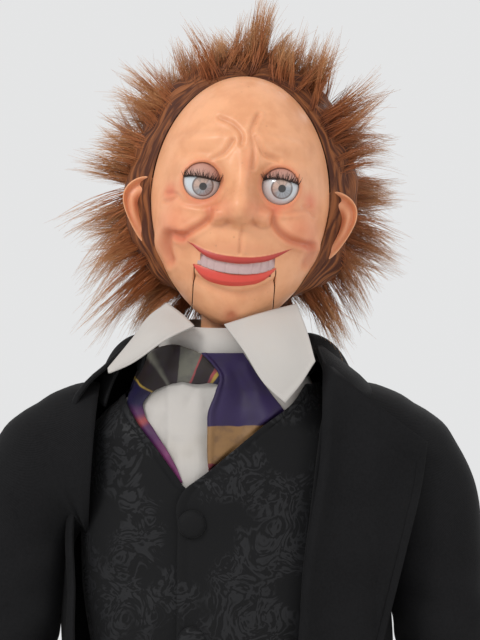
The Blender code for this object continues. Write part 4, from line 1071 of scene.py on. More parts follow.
length *= np.where(roots[:, 1] > 30, 0.80, 1.0) * np.where(roots[:, 2] < 100, 0.90, 1.0)
per, knots = 13, 7
q = np.linspace(0, 1, knots)[None, :, None]
droop = rng.uniform(1, 15, len(centres))[tuft] + rng.uniform(0, 5, locks)
sag = np.array([0, 0, -1.0]) * droop[:, None] * np.where(roots[:, 2] > 190, 0.15, 1.0)[:, None]
curl = np.cross(away, rng.normal(0, 1, (len(centres), 3))[tuft] + rng.normal(0, 0.5, (locks, 3)))
curl /= np.linalg.norm(curl, axis=1)[:, None]
curl *= rng.uniform(3, 15, locks)[:, None]
tip = roots + length[:, None] * away
meeting = np.stack([np.bincount(tuft, tip[:, k], len(centres))
        / np.maximum(np.bincount(tuft, minlength=len(centres)), 1) for k in range(3)], -1)
gather = 0.42 * (meeting[tuft] - tip)
path = (roots[:, None, :] - 1.0 * away[:, None, :] + length[:, None, None] * q * away[:, None, :]
    + gather[:, None, :] * q**1.6 + sag[:, None, :] * q**2.2 + curl[:, None, :] * (q**2.2 - 0.35 * q))
print("locks", locks, "in", len(centres), "tufts")

# %% Hairs
path = np.repeat(path, per, axis=0)
many = len(path)
spread = rng.normal(0, 1, (many, 3))
spread /= np.linalg.norm(spread, axis=1)[:, None]
reach_ = rng.uniform(0, 1, many)[:, None] ** 0.5
path += (spread * reach_ * 3.6)[:, None, :] * (1 - 0.62 * q)
stray = rng.normal(0, 1, (many, 3)) * (1.0 + 4.5 * (rng.random(many) > 0.90))[:, None]
path += (stray[:, None, :] * q**1.5 + (spread * 0.9)[:, None, :]
    * np.sin(q * 6 + rng.uniform(0, 6, many)[:, None, None]))
stretch = rng.uniform(0.66, 1.12, many)[:, None, None]
path = path[:, :1] + (path - path[:, :1]) * stretch
lock_tone = np.repeat(rng.random(locks), per)
tone = np.clip(0.55 * lock_tone + 0.45 * rng.random(many), 0, 1)
thick = rng.uniform(0.00018, 0.00032, many)
order = np.arange(many) % 6
for part in range(6):
    chosen = order == part
    lock = strands(f"hair_{part + 1}", to_figure(path[chosen]), thick[chosen], HAIR, tone=tone[chosen])
    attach(lock, "head")
print("hairs", many, "faces each", (knots - 1) * 3)

# %% [markdown]
# ## Clothes on the body
# The body's cross-section is a superellipse, an oval with fuller corners, whose half width and half depth
# change with height. A garment is that outline moved outwards, with slow waves added for slack, and cut at
# its edges. A sheet gets its thickness last, and says how large its flat cut was.

# %% The body's outline and sheets of cloth
MIDDLE = -0.052
BODY = [(-0.110, 0.079, 0.050), (0.000, 0.080, 0.052), (0.080, 0.086, 0.053), (0.135, 0.088, 0.051),
    (0.163, 0.087, 0.049), (0.178, 0.074, 0.046), (0.192, 0.058, 0.043), (0.212, 0.050, 0.042),
    (0.24, 0.047, 0.041)]
COAT = [(-0.190, 0.1020, 0.0640), (-0.110, 0.1070, 0.0610), (0.000, 0.1120, 0.0620), (0.050, 0.1100, 0.0630),
    (0.100, 0.1065, 0.0632), (0.130, 0.1070, 0.0630), (0.155, 0.1090, 0.0610), (0.175, 0.1080, 0.0580),
    (0.190, 0.1020, 0.0550), (0.202, 0.0900, 0.0520), (0.213, 0.0760, 0.0495), (0.222, 0.0640, 0.0475)]


def outline(z, out, profile):
    """The body's half width and half depth at a height, moved out."""
    heights, wide, deep = np.array(profile).T
    return np.interp(z, heights, wide) + out, np.interp(z, heights, deep) + out


def around_body(angle, z, out, profile=BODY):
    """The superellipse |x/a|^2.5 + |y/b|^2.5 = 1 at an angle from the front, at a height, moved out."""
    a, b = outline(z, out, profile)
    s, c = np.sin(angle), np.cos(angle)
    return np.stack([a * np.sign(s) * np.abs(s) ** 0.8, MIDDLE - b * np.sign(c) * np.abs(c) ** 0.8,
            z + 0 * angle], -1)


def front_at(x, z, out, profile=BODY):
    """The point on the front of the body at x and z, moved out."""
    a, b = outline(z, out, profile)
    y = MIDDLE - b * np.maximum(1 - np.minimum(np.abs(x) / a, 0.999) ** 2.5, 0) ** 0.4
    return np.stack([x + 0 * z, y, z + 0 * x], -1)


def angle_of(x, z, out, profile=BODY):
    """The angle at which around_body gives this x: its first line solved for the angle."""
    a, _ = outline(z, out, profile)
    return np.sign(x) * np.arcsin(np.minimum(np.abs(x) / a, 1) ** 1.25)


def folds(a, b, size, seed=0.0):
    """Slack in cloth: three crossing waves that shift one another, as sums of sin(a + sin b), about -1 to 1."""
    p, q = a / size + seed, b / size + 2 * seed
    return ((np.sin(p + 1.3 * np.sin(0.7 * q)) + 0.6 * np.sin(1.9 * q + np.sin(1.1 * p) + seed)
            + 0.4 * np.sin(2.7 * p - 1.6 * q)) / 2)


def area_of(piece):
    """The sum of half the length of each triangle's cross product."""
    mesh = piece.data
    mesh.calc_loop_triangles()
    co = np.zeros(len(mesh.vertices) * 3, np.float32)
    mesh.vertices.foreach_get("co", co)
    tri = np.zeros(len(mesh.loop_triangles) * 3, np.int32)
    mesh.loop_triangles.foreach_get("vertices", tri)
    p = co.reshape(-1, 3)[tri.reshape(-1, 3)]
    return float(np.linalg.norm(np.cross(p[:, 1] - p[:, 0], p[:, 2] - p[:, 0]), axis=1).sum() / 2)


def hand_opening(grid, z, angle, half_wide, half_tall):
    """Marks the points of the opening in the back, where the hand goes in."""
    return (np.abs(grid[..., 0]) < half_wide) & (np.abs(z) < half_tall) & (np.cos(angle) < 0)


def armholes(grid, z, angle):
    """Marks a round hole on each side, where the arm's bolt goes through."""
    return (np.hypot(grid[..., 1] - MIDDLE, z - 0.138) < 0.023) & (np.abs(np.sin(angle)) > 0.7)


def on_side(sign, x, y, z):
    """The same place on the left side (sign 1) or the right (sign -1)."""
    return (sign * x, y, z)


def garment(piece, body, thickness, held, rests_on, slot, *nodes, offset=1.0, blend=None, shape=1.25):
    """Thickens a cut of cloth, fixes it to its body, or with blend leaves it unattached in the figure's axes, and
    prints its flat size.
    """
    area = area_of(piece)
    wall(piece, thickness, offset)
    if blend:
        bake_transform(piece)
    else:
        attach(piece, body)
    if nodes:
        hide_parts(*nodes)
    width = float(np.sqrt(area * shape))
    print(piece.name, "flat", round(width, 3), "x", round(area / width, 3), "m")
    return piece


print("cloth helpers ready")

# %% [markdown]
# ## Shirt, collar and tie
# Only the shirt's front shows, in the waistcoat's V, with its pressed placket and soft creases. The stiff
# collar is a stand round the neck and two wings, one lying flat and one lifted. Each wing is a patch
# between four curved edges. The tie is a crossed scarf of patched silk: a ribbon along a line over the
# chest, and a pleated blade.

# %% Shirt
Z, A = np.meshgrid(np.linspace(-0.054, 0.203, 120), np.linspace(-np.pi, np.pi, 220, endpoint=False),
    indexing="ij")
chest = ramp(0.05, 0.12, Z) * ramp(0.9, 0.3, np.abs(A))
x_here = around_body(A, Z, 0.002)[..., 0]
slack = ((0.0019 * folds(x_here * 1000, Z * 500, 5.5, 0.7)
        + 0.0008 * folds(x_here * 1400, Z * 1000, 3.6, 1.7)) * chest
    + 0.0013 * bump(x_here + 0.0375, 0.0013) * ramp(0.05, 0.1, Z))
slack += 0.0007 * ramp(-0.0390, -0.0375, x_here) * ramp(-0.0150, -0.0165, x_here) * chest
grid = around_body(A, Z, 0.0010 + np.clip(slack, -0.0010, 0.0010))
hole = hand_opening(grid, Z, A, 0.0435, 0.058) | armholes(grid, Z, A)
shirt = surface("shirt_body", grid, SHIRT, closed=(False, True), size=(0.257, 0.46), hole=hole, flip=True)
garment(shirt, "body", 0.0009, "stretched", ["torso_front", "torso_back"], "shirt", "shirt")

# %% The collar's stand
# Each level (height, half width, half depth) is an oval, and the top one dips in front.
LEVELS = [(0.1935, 0.0470, 0.0425), (0.204, 0.0460, 0.0430), (0.216, 0.0455, 0.0435), (0.227, 0.0450, 0.0435),
    (0.2390, 0.0448, 0.0430)]
DIP = 0.0058
lift, half_x, half_y = (values[:, None] for values in np.array(LEVELS).T)
a = np.linspace(-np.pi, np.pi, 160, endpoint=False) + np.pi
tall = lift[-1] - lift[0]
lowered = lift - DIP * (lift - lift[0]) / tall * (0.5 + 0.5 * np.cos(a)) ** 2
grid = np.stack([half_x * np.sin(a), MIDDLE - half_y * np.cos(a), lowered], -1)
stand = surface("collar_stand", grid, SHIRT, closed=(False, True), size=(tall[0], 0.28))
garment(stand, "body", 0.0012, "stretched", ["shirt_body"], "shirt", "shirt_collar_stand", shape=7.5)

# %% The collar's wings
def patch(low, high, left, right, n=26):
    """A surface between four edges, each a list of points smoothed by a cubic: the mean of the two crossing
    rulings minus the corners' own bilinear surface (a Coons patch)."""
    t = np.linspace(0, 1, n)

    def edge(points):
        """The edge's own line, evenly divided."""
        points = np.array(points, float)
        far = np.r_[0, np.cumsum(np.linalg.norm(np.diff(points, axis=0), axis=1))]
        return np.stack([curve(t, list(zip(far / far[-1], points[:, k]))) for k in range(points.shape[1])],
            -1)

    lo, hi, le, ri = edge(low), edge(high), edge(left), edge(right)
    u, v = t[None, :, None], t[:, None, None]
    ruled = (1 - v) * lo[None] + v * hi[None] + (1 - u) * le[:, None] + u * ri[:, None]
    flat = (1 - v) * ((1 - u) * lo[0] + u * lo[-1]) + v * ((1 - u) * hi[0] + u * hi[-1])
    return ruled - flat


def wing(name, low, high, left, right, puff, node):
    """A collar wing between four edges given in millimetres, puffed out in the middle and stitched at the hem."""
    mm = [[(x / 1000, y / 1000, (z + 4) / 1000) for x, y, z in e] for e in (low, high, left, right)]
    grid = patch(*mm, n=40)
    t = np.linspace(0, 1, 40)
    inner = np.sin(np.pi * t)[:, None] * np.sin(np.pi * t)[None, :]
    hem = np.minimum(np.minimum(t, 1 - t)[:, None] + 0 * t, np.minimum(t, 1 - t)[None, :] + 0 * t[:, None])
    grid[..., 1] -= puff * inner + 0.00035 * bump(hem - 0.085, 0.012) * -1 + 0.0004 * ramp(0.07, 0.0, hem)
    grid[..., 1] += 0.0005 * folds(grid[..., 0] * 1000, grid[..., 2] * 1000, 12, 1.9) * inner
    piece = surface(name, grid, SHIRT, size=(0.045, 0.05), flip=True)
    return garment(piece, "body", 0.0011, "folded", ["collar_stand"], "shirt", node, offset=-1.0)


wing("left_wing", [(39, -119.5, 180.5), (50, -118.5, 194), (58.5, -113, 208)],
    [(-1, -100.5, 231.8), (22, -99, 239), (47, -88, 245.5)],
    [(39, -119.5, 180.5), (27, -118.5, 191), (11, -110.5, 215.5), (-1, -100.5, 231.8)],
    [(58.5, -113, 208), (54, -101.5, 226), (47, -88, 245.5)], 0.004, "left_collar_wing")
wing("right_wing", [(-77, -104, 200), (-64, -109, 205), (-37, -110, 223), (-20.5, -100.5, 231)],
    [(-77.5, -102, 203), (-62, -96, 222), (-50, -88, 238), (-39, -84, 246)],
    [(-77, -104, 200), (-77.5, -102, 203)], [(-20.5, -100.5, 231), (-29, -93, 239), (-39, -84, 246)], 0.004,
    "right_collar_wing")

# %% The tie's silk
INDIGO, NAVY, PURPLE = (0.021, 0.010, 0.058), (0.012, 0.009, 0.045), (0.070, 0.018, 0.075)
BARK, STONE, GOLD, ROSE, TAN, WINE = ((0.020, 0.013, 0.012), (0.125, 0.122, 0.098), (0.34, 0.23, 0.045),
    (0.27, 0.052, 0.055), (0.235, 0.128, 0.050), (0.15, 0.024, 0.030))
SCARF = silk("tie_patches", (0, NAVY), (0.004, GOLD), (0.0062, ROSE), (0.0085, BARK), (0.0190, ROSE),
    (0.0202, STONE), (0.0310, BARK), (0.044, STONE, 0.002), (0.047, BARK, 0.001), (0.060, GOLD),
    (0.0615, NAVY), (0.076, PURPLE, 0.003), (0.083, ROSE, 0.003), (0.089, PURPLE, 0.003),
    (0.106, (0.17, 0.035, 0.12), 0.005))
BLADE = silk("tie_blade_silk", (0, INDIGO), (0.0475, TAN), (0.0725, WINE), (0.082, NAVY))
print("tie silks", SCARF.name, BLADE.name)

# %% The tie's scarf
# The waistcoat's front edges, as (height, x) points, hold the silk down where it passes under them.
LEFT_EDGE = [(-100, -31), (100, -31), (121, -30.5), (128, -26), (137, -14), (152, 4), (170, 26), (182, 42),
    (196, 52)]
RIGHT_EDGE = [(-100, -12), (110, -12), (124, -20), (128, -25.5), (137, -32.5), (152, -43.5), (172, -58.5),
    (185, -65.5), (196, -68)]


def tucked(gx, gz, lift):
    """Brings the silk down to the shirt where it passes under the waistcoat's edges."""
    left, right = curve(gz * 1000, LEFT_EDGE) / 1000, curve(gz * 1000, RIGHT_EDGE) / 1000
    under = np.maximum(ramp(-0.0045, 0.0005, gx - left), ramp(0.0030, -0.0015, gx - right))
    return lift + (0.0028 - lift) * under * (gz < 0.19)


def ribbon(name, line, finish, out, size, crease=0.0):
    """A strip over the chest: (x, z, half width) points smoothed by a cubic, with points across at right angles."""
    x, z, h = np.array(line, float).T / 1000
    far = np.r_[0, np.cumsum(np.hypot(np.diff(x), np.diff(z)))]
    t = np.linspace(0, far[-1], 110)
    cx, cz, half = (curve(t, list(zip(far, k))) for k in (x, z, h))
    dx, dz = np.gradient(cx, t), np.gradient(cz, t)
    s = np.linspace(-1, 1, 24)
    gx, gz = cx[:, None] - dz[:, None] * half[:, None] * s, cz[:, None] + dx[:, None] * half[:, None] * s
    lift = out + 0.0016 * (1 - s**2) + crease * folds(gx * 1000, gz * 1000, 5.5, 0.3)
    return surface(name, front_at(gx, gz, tucked(gx, gz, lift)), finish, size=(far[-1], size), flip=True)


scarf = ribbon("tie_scarf", [(-2, 198.5, 3), (-9, 203, 6.5), (-17, 205.5, 9.5), (-28, 209, 11.5),
        (-38, 209, 13), (-48, 203, 11), (-56, 194, 7.5), (-60, 184, 5.5), (-59, 173, 6.5), (-52, 160, 7.5),
        (-43, 147, 7), (-36, 137, 5.5), (-31, 130, 3.5)], SCARF, 0.0040, 0.02, 0.0007)
garment(scarf, "body", 0.0008, "folded", ["shirt_body"], "silk", "necktie_band", offset=0.0, shape=6)

# %% The tie's blade
V_, U_ = np.meshgrid(np.linspace(0, 1, 90), np.linspace(0, 1, 70), indexing="ij")
zb = 0.2168 - 0.088 * V_
left_edge = (curve(zb * 1000, [(128, -11), (139, -11), (150, -11.6), (167, -11.6), (177, -11.4),
            (190.7, -6.5), (203, -4.2), (210, -9), (217, -16)]) / 1000)
right_edge = (curve(zb * 1000, [(128, 16), (140, 24), (155, 34), (175, 40), (191, 29), (205, 19),
            (217, 11.5)]) / 1000)
xb = left_edge + (right_edge - left_edge) * U_
pleat = (0.0016 * np.sin(U_ * 9.5 + 1.2 * V_) * ramp(0, 0.25, V_) + 0.0026 * bump(U_ - 0.03, 0.05)
    + 0.0008 * folds(xb * 1000, zb * 1000, 7, 2.2))
blade = surface("tie_blade", front_at(xb, zb, tucked(xb, zb, 0.0052 + pleat)), BLADE, size=(0.088, 0.05),
    flip=True)
garment(blade, "body", 0.0009, "folded", ["shirt_body"], "silk", "necktie_blade", offset=0.0)

# %% [markdown]
# ## Waistcoat
# Two fronts of black brocade lap at the button line, the left over the right, and rise to a V. Each front
# is a grid between its side and its front edge, so the V and the lap are just that edge's line. A line of
# stitching runs a finger's width inside it. The buttons are domes covered in the same cloth.

# %% The waistcoat
VEST = [(z, a + 0.006 * np.exp(-(((z - 0.07) / 0.08) ** 2)), b) for z, a, b in BODY]


def waistcoat_front(side, sign, edge, out):
    """One front: from its front edge, a line of (height, x) points, round the side to the middle of the back."""
    z = np.linspace(-0.0985, 0.196, 170)
    s = np.linspace(0, 1, 110)
    Z, S = np.meshgrid(z, s, indexing="ij")
    front = curve(Z * 1000, edge) / 1000
    first, last = angle_of(front, Z, out, VEST), sign * np.radians(178)
    A = first + (last - first) * S**1.15
    grid0 = around_body(A, Z, out, VEST)
    near = np.abs(grid0[..., 0] - front)
    lift = 0.0013 * folds(grid0[..., 0] * 1000, Z * 1000, 19, 0.4 + sign) * ramp(0.0, 0.02, near)
    lift += (0.0008 * bump(Z - 0.03 - 0.35 * grid0[..., 0] * sign, 0.012)
        + 0.0007 * bump(Z + 0.03 + 0.3 * grid0[..., 0] * sign, 0.010))
    lift += (0.0007 * ramp(0.0052, 0.0035, near) - 0.0007 * bump(near - 0.0060, 0.0006)
        - 0.0006 * bump(Z + 0.0935, 0.0006))
    grid = around_body(A, Z, out + lift, VEST)
    hole = hand_opening(grid, Z, A, 0.0435, 0.0585) | armholes(grid, Z, A)
    return surface(f"waistcoat_{side}", grid, BROCADE, size=(0.295, 0.24), hole=hole, flip=sign > 0)


over = waistcoat_front("left", 1, LEFT_EDGE, 0.0058)
under = waistcoat_front("right", -1, RIGHT_EDGE, 0.0040)
garment(over, "body", 0.0014, "hung", ["shirt_body"], "brocade", "waistcoat")
garment(under, "body", 0.0012, "hung", ["shirt_body"], "brocade")

# %% Covered buttons
BUTTON_RADIUS, BUTTON_HEIGHT = 0.0090, 0.0046
profile_r = np.r_[0, 0.25, 0.5, 0.7, 0.84, 0.94, 1.0, 1.02, 0.98, 0.9, 0.0]
profile_h = np.r_[1.0, 0.985, 0.93, 0.84, 0.72, 0.55, 0.36, 0.2, 0.08, 0.0, 0.0]
a = np.linspace(0, 2 * np.pi, 40, endpoint=False)
for number, z in enumerate((0.105, 0.029, -0.047), 1):
    centre = front_at(np.array(-0.022), np.array(z), 0.0074)
    gathers = 0.00018 * np.sin(8 * a) * (profile_r[:, None] > 0.8)
    ring = np.stack([BUTTON_RADIUS * profile_r[:, None] * np.cos(a),
            -BUTTON_HEIGHT * profile_h[:, None] + 0 * a + gathers,
            BUTTON_RADIUS * profile_r[:, None] * np.sin(a)], -1)
    button = surface(f"covered_button_{number}", centre + ring, BROCADE, closed=(False, True),
        size=(0.014, 0.05), flip=False)
    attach(button, "body")
    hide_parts(f"waistcoat_button_{number}")
print("buttons", number)

# %% [markdown]
# ## Jacket
# The jacket hangs open from the shoulders, so it is one sheet from its right front edge round the back to
# its left, with a tail and an opening for the hand. The lapel is a patch of its own that lies over the
# front, and the collar runs round the neck. Sleeves are lofts of rings that turn from the armhole down the
# arm.

# %% The jacket's body
z = np.concatenate([np.linspace(-0.185, -0.06, 44), np.linspace(-0.0590, 0.0590, 60),
        np.linspace(0.061, 0.2215, 84)])
s = np.linspace(0, 1, 260)
Z, S = np.meshgrid(z, s, indexing="ij")
right_x = (curve(Z * 1000, [(-190, -86), (-104, -90), (-40, -93), (19, -97), (95, -98), (140, -96.5),
            (176, -98), (195, -89), (210, -73), (222, -62)]) / 1000)
left_x = curve(Z * 1000, [(-190, 60), (-104, 48), (0, 47), (88, 52), (162, 62), (200, 66), (222, 60)]) / 1000
first = np.radians(360) + angle_of(right_x, Z, 0.0, COAT)
last = angle_of(left_x, Z, 0.0, COAT)
A = last + (first - last) * S
tail = Z < -0.104
behind = np.radians(100) + np.radians(160) * S
A = np.where(tail, behind + (A - np.radians(100) - np.radians(160) * S) * ramp(-0.125, -0.100, Z) ** 2, A)
back = ramp(0.2, -0.6, np.cos(A))
lift = (0.0018 * folds(A * 92, Z * 1000, 21, 1.1) * ramp(0.215, 0.17, Z)
    + 0.0012 * np.sin(A * 11) * ramp(0.0, -0.18, Z))
edge_gap = np.minimum(S, 1 - S) * 0.42
lift += (0.0050 * bump(edge_gap - 0.006, 0.009) * ramp(0.5, 1.0, S) * ramp(-0.05, 0.05, Z)
    + 0.0006 * ramp(0.006, 0.003, edge_gap) - 0.0007 * bump(A - np.pi, 0.012))
grid = around_body(A, Z, lift, COAT)
hole = hand_opening(grid, Z, A, 0.0440, 0.0591)
jacket = surface("jacket_body", grid, SUIT, size=(0.41, 0.44), hole=hole, flip=False)
garment(jacket, "body", 0.0024, "hung", ["shoulder_board", "waistcoat_left"], "suit", "jacket")

# %% The lapel
lapel_grid = patch([(0.049, 0, -0.062), (0.058, 0, -0.074), (0.072, 0, -0.070)],
    [(0.064, 0, 0.211), (0.088, 0, 0.192), (0.108, 0, 0.176), (0.132, 0, 0.158)],
    [(0.049, 0, -0.062), (0.0475, 0, 0.019), (0.053, 0, 0.088), (0.062, 0, 0.150), (0.064, 0, 0.211)],
    [(0.072, 0, -0.070), (0.088, 0, -0.030), (0.102, 0, 0.020), (0.118, 0, 0.088), (0.129, 0, 0.135),
        (0.132, 0, 0.158)], n=80)
gx, gz = lapel_grid[..., 0], lapel_grid[..., 2]
t = np.linspace(0, 1, 80)
across = t[None, :] + 0 * t[:, None]
lift = (0.0048 + 0.0042 * bump(across, 0.16) - 0.0045 * ramp(0.08, 0.0, across)
    + 0.0010 * folds(gx * 1000, gz * 1000, 26, 0.2))
hem = np.minimum(1 - across, (1 - t)[:, None] + 0 * across)
lift += 0.0006 * ramp(0.06, 0.03, hem) - 0.0005 * bump(hem - 0.075, 0.008)
broad = [(zz, max(xx, 0.150), yy + (0.0 if zz < 0.1 else 0.002)) for zz, xx, yy in COAT]
narrow_y, broad_y = (front_at(np.minimum(gx, 0.098), gz, lift, COAT)[..., 1],
    front_at(gx, gz, lift, broad)[..., 1])
share = ramp(0.070, 0.100, gx) * ramp(0.02, 0.10, gz)
y = narrow_y * (1 - share) + broad_y * share
lapel = surface("jacket_lapel", np.stack([gx, y, gz], -1), SUIT, size=(0.27, 0.07), flip=True)
garment(lapel, "body", 0.0020, "folded", ["jacket_body"], "suit", "left_lapel", shape=4)

# %% The coat's collar
# It stands up over the first 0.3 of its rows and then rolls over and falls, further in front.
STANDING = 0.30
L, A = np.meshgrid(np.linspace(0, 1, 26), np.radians(np.linspace(62, 289, 150)), indexing="ij")
front_ness = ramp(-0.35, 0.45, np.cos(A))
fall = 0.026 + 0.006 * front_ness * (np.sin(A) > 0)
roll = np.clip((L - STANDING) / 0.70, 0, 1)
stand_part = np.clip(L / STANDING, 0, 1)
radius_x = 0.0600 - 0.0030 * stand_part + roll * fall * 1.05 + 0.0035 * np.sin(np.pi * roll)
radius_y = 0.0490 - 0.0020 * stand_part + roll * (0.014 + 0.006 * front_ness)
top = 0.228 - 0.013 * front_ness
zc = top - 0.014 * (1 - stand_part) - roll**1.25 * (0.026 + 0.010 * front_ness) + 0.004 * np.sin(np.pi * roll)
grid = np.stack([radius_x * np.sin(A), MIDDLE - radius_y * np.cos(A), zc], -1)
collar = surface("coat_collar", grid, SUIT, size=(0.05, 0.28), flip=False)
garment(collar, "body", 0.0020, "folded", ["jacket_body"], "suit", "jacket_collar", shape=5)

# %% Lofts and stuffed limbs
SHOULDER = np.array([0.137, MIDDLE, 0.138])
ELBOW = np.array([0.154, MIDDLE, -0.004])
WRIST = np.array([0.164, MIDDLE, -0.122])


def loft(name, rings, finish, sign, wave, segments=72, per=7, size=(0.2, 0.2)):
    """Rings (centre x, y, z, turn in degrees, half outwards, half across) smoothed between, with waves for slack."""
    rings = np.array(rings, float)
    far = np.r_[0, np.cumsum(np.linalg.norm(np.diff(rings[:, :3], axis=0), axis=1))]
    t = np.linspace(0, far[-1], len(rings) * per)
    cx, cy, cz, turn_, out, across = (curve(t, list(zip(far, rings[:, k])), steady=True)[:, None]
        for k in range(6))
    a = np.linspace(0, 2 * np.pi, segments, endpoint=False)[None, :]
    b = np.radians(turn_)
    lift = 1 + wave(a, t[:, None])
    u, v = out * np.cos(a) * lift, across * np.sin(a) * lift
    grid = np.stack([sign * (cx + u * np.sin(b)), cy - v, cz + u * np.cos(b)], -1)
    return surface(name, grid, finish, closed=(False, True), size=size, flip=sign > 0)


def stuffed(name, ends, sign, profile, node):
    """A stuffed calico limb: radii along a line between two joints, with a puckered seam down its back."""
    start, end = (np.array([sign, 1, 1]) * p for p in ends)
    t = np.linspace(profile[0][0], profile[-1][0], 60)
    radius = curve(t, profile, steady=True)[:, None]
    a = np.linspace(0, 2 * np.pi, 40, endpoint=False)[None, :]
    pucker = (1 - 0.07 * bump(np.abs(np.sin((a - np.pi / 2) / 2)), 0.12)
        + 0.02 * folds(a * 9, t[:, None] * 150, 9, 0.5))
    centre = start + (end - start) * t[:, None]
    grid = np.stack([centre[:, :1] + radius * pucker * np.cos(a),
            centre[:, 1:2] + radius * pucker * np.sin(a), centre[:, 2:] + 0 * a], -1)
    piece = surface(name, grid, CALICO, closed=(False, True), size=(0.14, 0.12), flip=True)
    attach(piece, node)
    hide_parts(node)


print("loft and stuffing ready")


# %% The arms
def arm(side, sign):
    """One arm: a sleeve in two lofts with creases at the elbow, a shirt cuff, and two stuffed pieces inside."""

    def top_slack(a, t):
        """Slack, a twist of folds at the elbow, and a seam round the sleeve's head."""
        slack = (0.040 * folds(15 * np.sin(a + 0.5) + t * 300 * sign, 9 * np.cos(a) + t * 1000, 14,
                sign * 0.8) * ramp(0.03, 0.08, t))
        bent = (0.05 * (np.sin(3 * a + 150 * t) * ramp(0.06, 0.1, t) * 0.5
                + 0.5 * np.sin(4 * a - 210 * t) * bump(t - 0.16, 0.03)))
        return (slack + bent + 0.035 * bump(t - 0.030 - 0.004 * np.cos(2 * a), 0.005)
            - 0.02 * bump(t - 0.022, 0.003))

    def end_slack(a, t):
        """Folds below the elbow, slack, and a line of stitching at the hem."""
        slack = 0.040 * folds(15 * np.sin(a) - t * 200, 9 * np.cos(a) + t * 1000, 13, sign * 1.7)
        return (0.06 * np.sin(3 * a + t * 260) * bump(t - 0.03, 0.018) + slack
            - 0.012 * bump(t - 0.128, 0.0012))

    rings = [(0.0880, MIDDLE, 0.144, -4, 0.0530, 0.0480), (0.0945, MIDDLE, 0.143, 2, 0.0535, 0.0485),
        (0.1010, MIDDLE, 0.141, 10, 0.0520, 0.0475), (0.1110, MIDDLE, 0.1375, 24, 0.0480, 0.0460),
        (0.1230, MIDDLE, 0.1290, 44, 0.0425, 0.0430), (0.1310, MIDDLE, 0.1160, 62, 0.0392, 0.0402),
        (0.1352, MIDDLE, 0.0990, 78, 0.0362, 0.0375), (0.1380, MIDDLE, 0.0800, 90, 0.0350, 0.0358),
        (0.1425, MIDDLE, 0.0520, 91, 0.0342, 0.0350), (0.1475, MIDDLE, 0.0240, 92, 0.0338, 0.0346),
        (0.1520, MIDDLE, 0.0040, 93, 0.0334, 0.0344), (0.1543, MIDDLE, -0.0100, 94, 0.0324, 0.0336)]
    upper = loft(f"{side}_sleeve_top", rings, SUIT, sign, top_slack, size=(0.19, 0.21))
    garment(upper, None, 0.0018, "hung", ["shoulder_board"], "suit", f"{side}_sleeve_upper", offset=-1.0,
        blend=("body", f"{side}_upper_arm", on_side(sign, 0.101, MIDDLE, 0.166),
            on_side(sign, 0.140, MIDDLE, 0.112)))
    rings = [(0.1518, MIDDLE, 0.0140, 92, 0.0308, 0.0318), (0.1540, MIDDLE, -0.0040, 93, 0.0318, 0.0328),
        (0.1562, MIDDLE, -0.0300, 94, 0.0312, 0.0322), (0.1590, MIDDLE, -0.0650, 94, 0.0296, 0.0306),
        (0.1620, MIDDLE, -0.0980, 94, 0.0280, 0.0290), (0.1645, MIDDLE, -0.1260, 94, 0.0272, 0.0282)]
    lower = loft(f"{side}_sleeve_end", rings, SUIT, sign, end_slack, size=(0.14, 0.19))
    garment(lower, None, 0.0018, "hung", [f"{side}_forearm_stuffed"], "suit", f"{side}_sleeve_lower",
        offset=-1.0, blend=(f"{side}_upper_arm", f"{side}_forearm", on_side(sign, 0.1535, MIDDLE, 0.010),
            on_side(sign, 0.1555, MIDDLE, -0.018)))
    cuff = loft(f"{side}_shirt_cuff", [(0.1632, MIDDLE, -0.1120, 94, 0.0215, 0.0225),
            (0.1645, MIDDLE, -0.1260, 94, 0.0212, 0.0222), (0.1650, MIDDLE, -0.1315, 94, 0.0210, 0.0220)],
        SHIRT, sign, lambda a, t: 0.01 * np.sin(2 * a), size=(0.02, 0.13))
    garment(cuff, f"{side}_forearm", 0.0009, "folded", [f"{side}_sleeve_end"], "shirt", offset=-1.0, shape=5)
    stuffed(f"{side}_arm_stuffed", [SHOULDER, ELBOW], sign,
        [(0, 0.004), (0.06, 0.0185), (0.5, 0.0190), (0.8, 0.0165), (0.9, 0.0105), (0.97, 0.0140),
            (1.06, 0.0125), (1.1, 0.002)], f"{side}_upper_arm")
    stuffed(f"{side}_forearm_stuffed", [ELBOW, WRIST], sign,
        [(0.13, 0.004), (0.16, 0.0140), (0.25, 0.0185), (0.6, 0.0172), (0.97, 0.0132), (1.0, 0.004)],
        f"{side}_forearm")


for side, sign in (("left", 1), ("right", -1)):
    arm(side, sign)
print("arms dressed")

# %% [markdown]
# ## Hands
# The hands are small cast ones that hang at the cuffs. A palm is an oval solid, wider at the knuckles, and
# each finger is a tube whose path curls and whose radius swells at its joints.

# %% Hands
def palm_form(top, sign):
    """An oval swept down from the wrist: half thickness x and half width y as cubics of the way down."""
    t = np.linspace(0, 1, 26)
    thick = (curve(t, [(0, 0.2), (0.04, 6.6), (0.18, 8.4), (0.5, 9.2), (0.82, 7.8), (0.95, 5.2), (1, 0.2)],
            steady=True)[:, None] / 1000)
    wide = (curve(t, [(0, 0.2), (0.04, 8.6), (0.2, 12.5), (0.5, 18.6), (0.82, 19.6), (0.95, 16.5), (1, 0.2)],
            steady=True)[:, None] / 1000)
    a = np.linspace(0, 2 * np.pi, 44, endpoint=False)
    tendons = 1 + 0.035 * np.cos(8 * a) * bump(t[:, None] - 0.75, 0.2) * (np.cos(a) > 0)
    grid = np.stack([thick * np.cos(a) * tendons, wide * np.sin(a), -0.051 * t[:, None] + 0 * a], -1)
    return surface("palm", top + grid * [sign, 1, 1], PLAIN_SKIN, closed=(False, True), size=(0.05, 0.11),
        flip=sign < 0)


